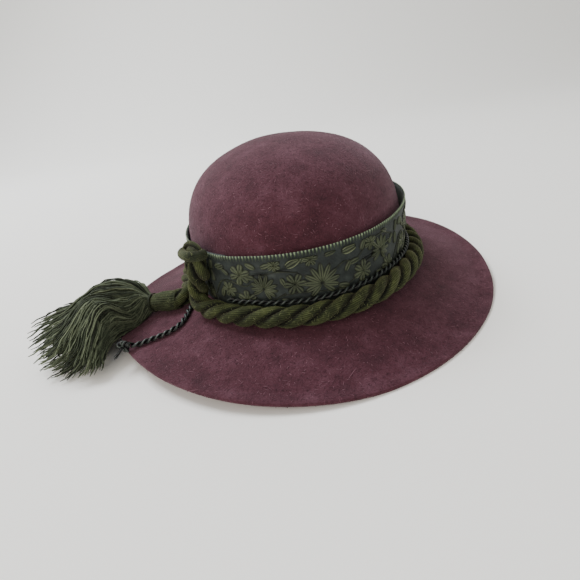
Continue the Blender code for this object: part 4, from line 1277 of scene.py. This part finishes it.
tail_marks = []
for degree, share in (TAIL_TUCK, *CORD_TAIL):
    turn = radians(degree)
    out = share * brim_width(turn)
    tail_marks.append(place(turn, oval(turn) + out, seat_height(turn, out, CORD_RADIUS)))
end_knot_at = tail_marks[-1] + Vector((0, 0, END_KNOT_RADIUS - CORD_RADIUS))
knot_reach = END_KNOT_RADIUS + CLEARANCE
tail_route = smooth_route(tail_marks, TAIL_STEPS)
tail_line = [p for p in tail_route if (p - end_knot_at).length > knot_reach + CORD_RADIUS]
tail_line.append(end_knot_at - (end_knot_at - tail_line[-1]).normalized() * knot_reach)
cord_end = two_plies("cord_free_end", tail_line, 0.0006, 4, phase=0.1)
tie = []
for i in range(TIE_POINTS):
    t = 2 * pi * i / TIE_POINTS
    tie.append(end_knot_at + TIE_SIZE * Vector((
        sin(t) + 2 * sin(2 * t), 0.85 * sin(3 * t), cos(t) - 2 * cos(2 * t))))
end_knot = two_plies("cord_end_knot", tie, 0.0006, 4, ply=0.50, core=0.40, lay=CORD_LAY * 0.7)
fray_routes = []
down = TUFT_DIRECTION.normalized()
for _ in range(FRAY_THREADS):
    lean = Vector([dice.uniform(-1, 1) for _ in range(3)])
    length = END_KNOT_RADIUS * 0.6 + END_TUFT * dice.uniform(0.45, 1.0)
    fray_routes.append([])
    for k in range(TUFT_POINTS):
        stray = lean * TUFT_SPREAD * (0.25 + (k / (TUFT_POINTS - 1)) ** 1.5)
        fray_routes[-1].append(end_knot_at + down * length * k / (TUFT_POINTS - 1) + stray)
cord_fray = grown("cord_fray", route_curve("fray_routes", fray_routes), loose_yarns,
                  radius=0.00022, sides=5, seed=5, material=rayon)
for piece in (end_knot, cord_fray):
    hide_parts("thin_cord_end_knot")
    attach(piece, "root")
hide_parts("thin_cord_tail")
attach(cord_end, "root")


# Table and light: a pale sweep of paper, a large soft window on the left, a dimmer fill in front and the
# even light of the room.
SWEEP_FRONT = -3.0
SWEEP_BACK = 1.2
SWEEP_BEND = 1.2
SWEEP_TOP = 5.0
SWEEP_HALF_WIDTH = 5.0
LIT_AT = Vector((0, 0, 0.05))
ROOM_LIGHT = 0.74


def pale_paper():
    """Matt white paper, a little warm."""
    made, _, shader = finish("pale_paper", 0.9, 0.0, "#ffffff", 0.5)
    shader.inputs["Base Color"].default_value = tone("#fbfaf5")
    return made


sweep_line = [(SWEEP_FRONT, 0.0), (SWEEP_BACK, 0.0)]
for degree in range(6, 91, 6):
    bend = radians(degree)
    sweep_line.append((SWEEP_BACK + SWEEP_BEND * sin(bend), SWEEP_BEND - SWEEP_BEND * cos(bend)))
sweep_line.append((SWEEP_BACK + SWEEP_BEND, SWEEP_TOP))
sweep_verts = [Vector((x, y, z)) for x in (-SWEEP_HALF_WIDTH, SWEEP_HALF_WIDTH) for y, z in sweep_line]
half = len(sweep_line)
sweep = solid("paper_sweep", sweep_verts, [(j, half + j, half + j + 1, j + 1) for j in range(half - 1)])
sweep.data.materials.append(pale_paper())


def soft_light(name, at, size, power, colour):
    data = bpy.data.lights.new(name, "AREA")
    data.shape = "SQUARE"
    data.size = size
    data.energy = power
    data.color = tone(colour)[:3]
    made = bpy.data.objects.new(name, data)
    made.location = at
    made.rotation_euler = (LIT_AT - Vector(at)).to_track_quat("-Z", "Y").to_euler()
    bpy.context.scene.collection.objects.link(made)


soft_light("window", (-1.0, 0.8, 1.9), 1.1, 64, "#f4f8ff")
soft_light("front_fill", (-0.9, -1.9, 1.2), 1.8, 31, "#fff3e6")
world = bpy.data.worlds.new("soft_room")
world.use_nodes = True
world.node_tree.nodes["Background"].inputs["Color"].default_value = tone("#e6e6e4")
world.node_tree.nodes["Background"].inputs["Strength"].default_value = ROOM_LIGHT
bpy.context.scene.world = world
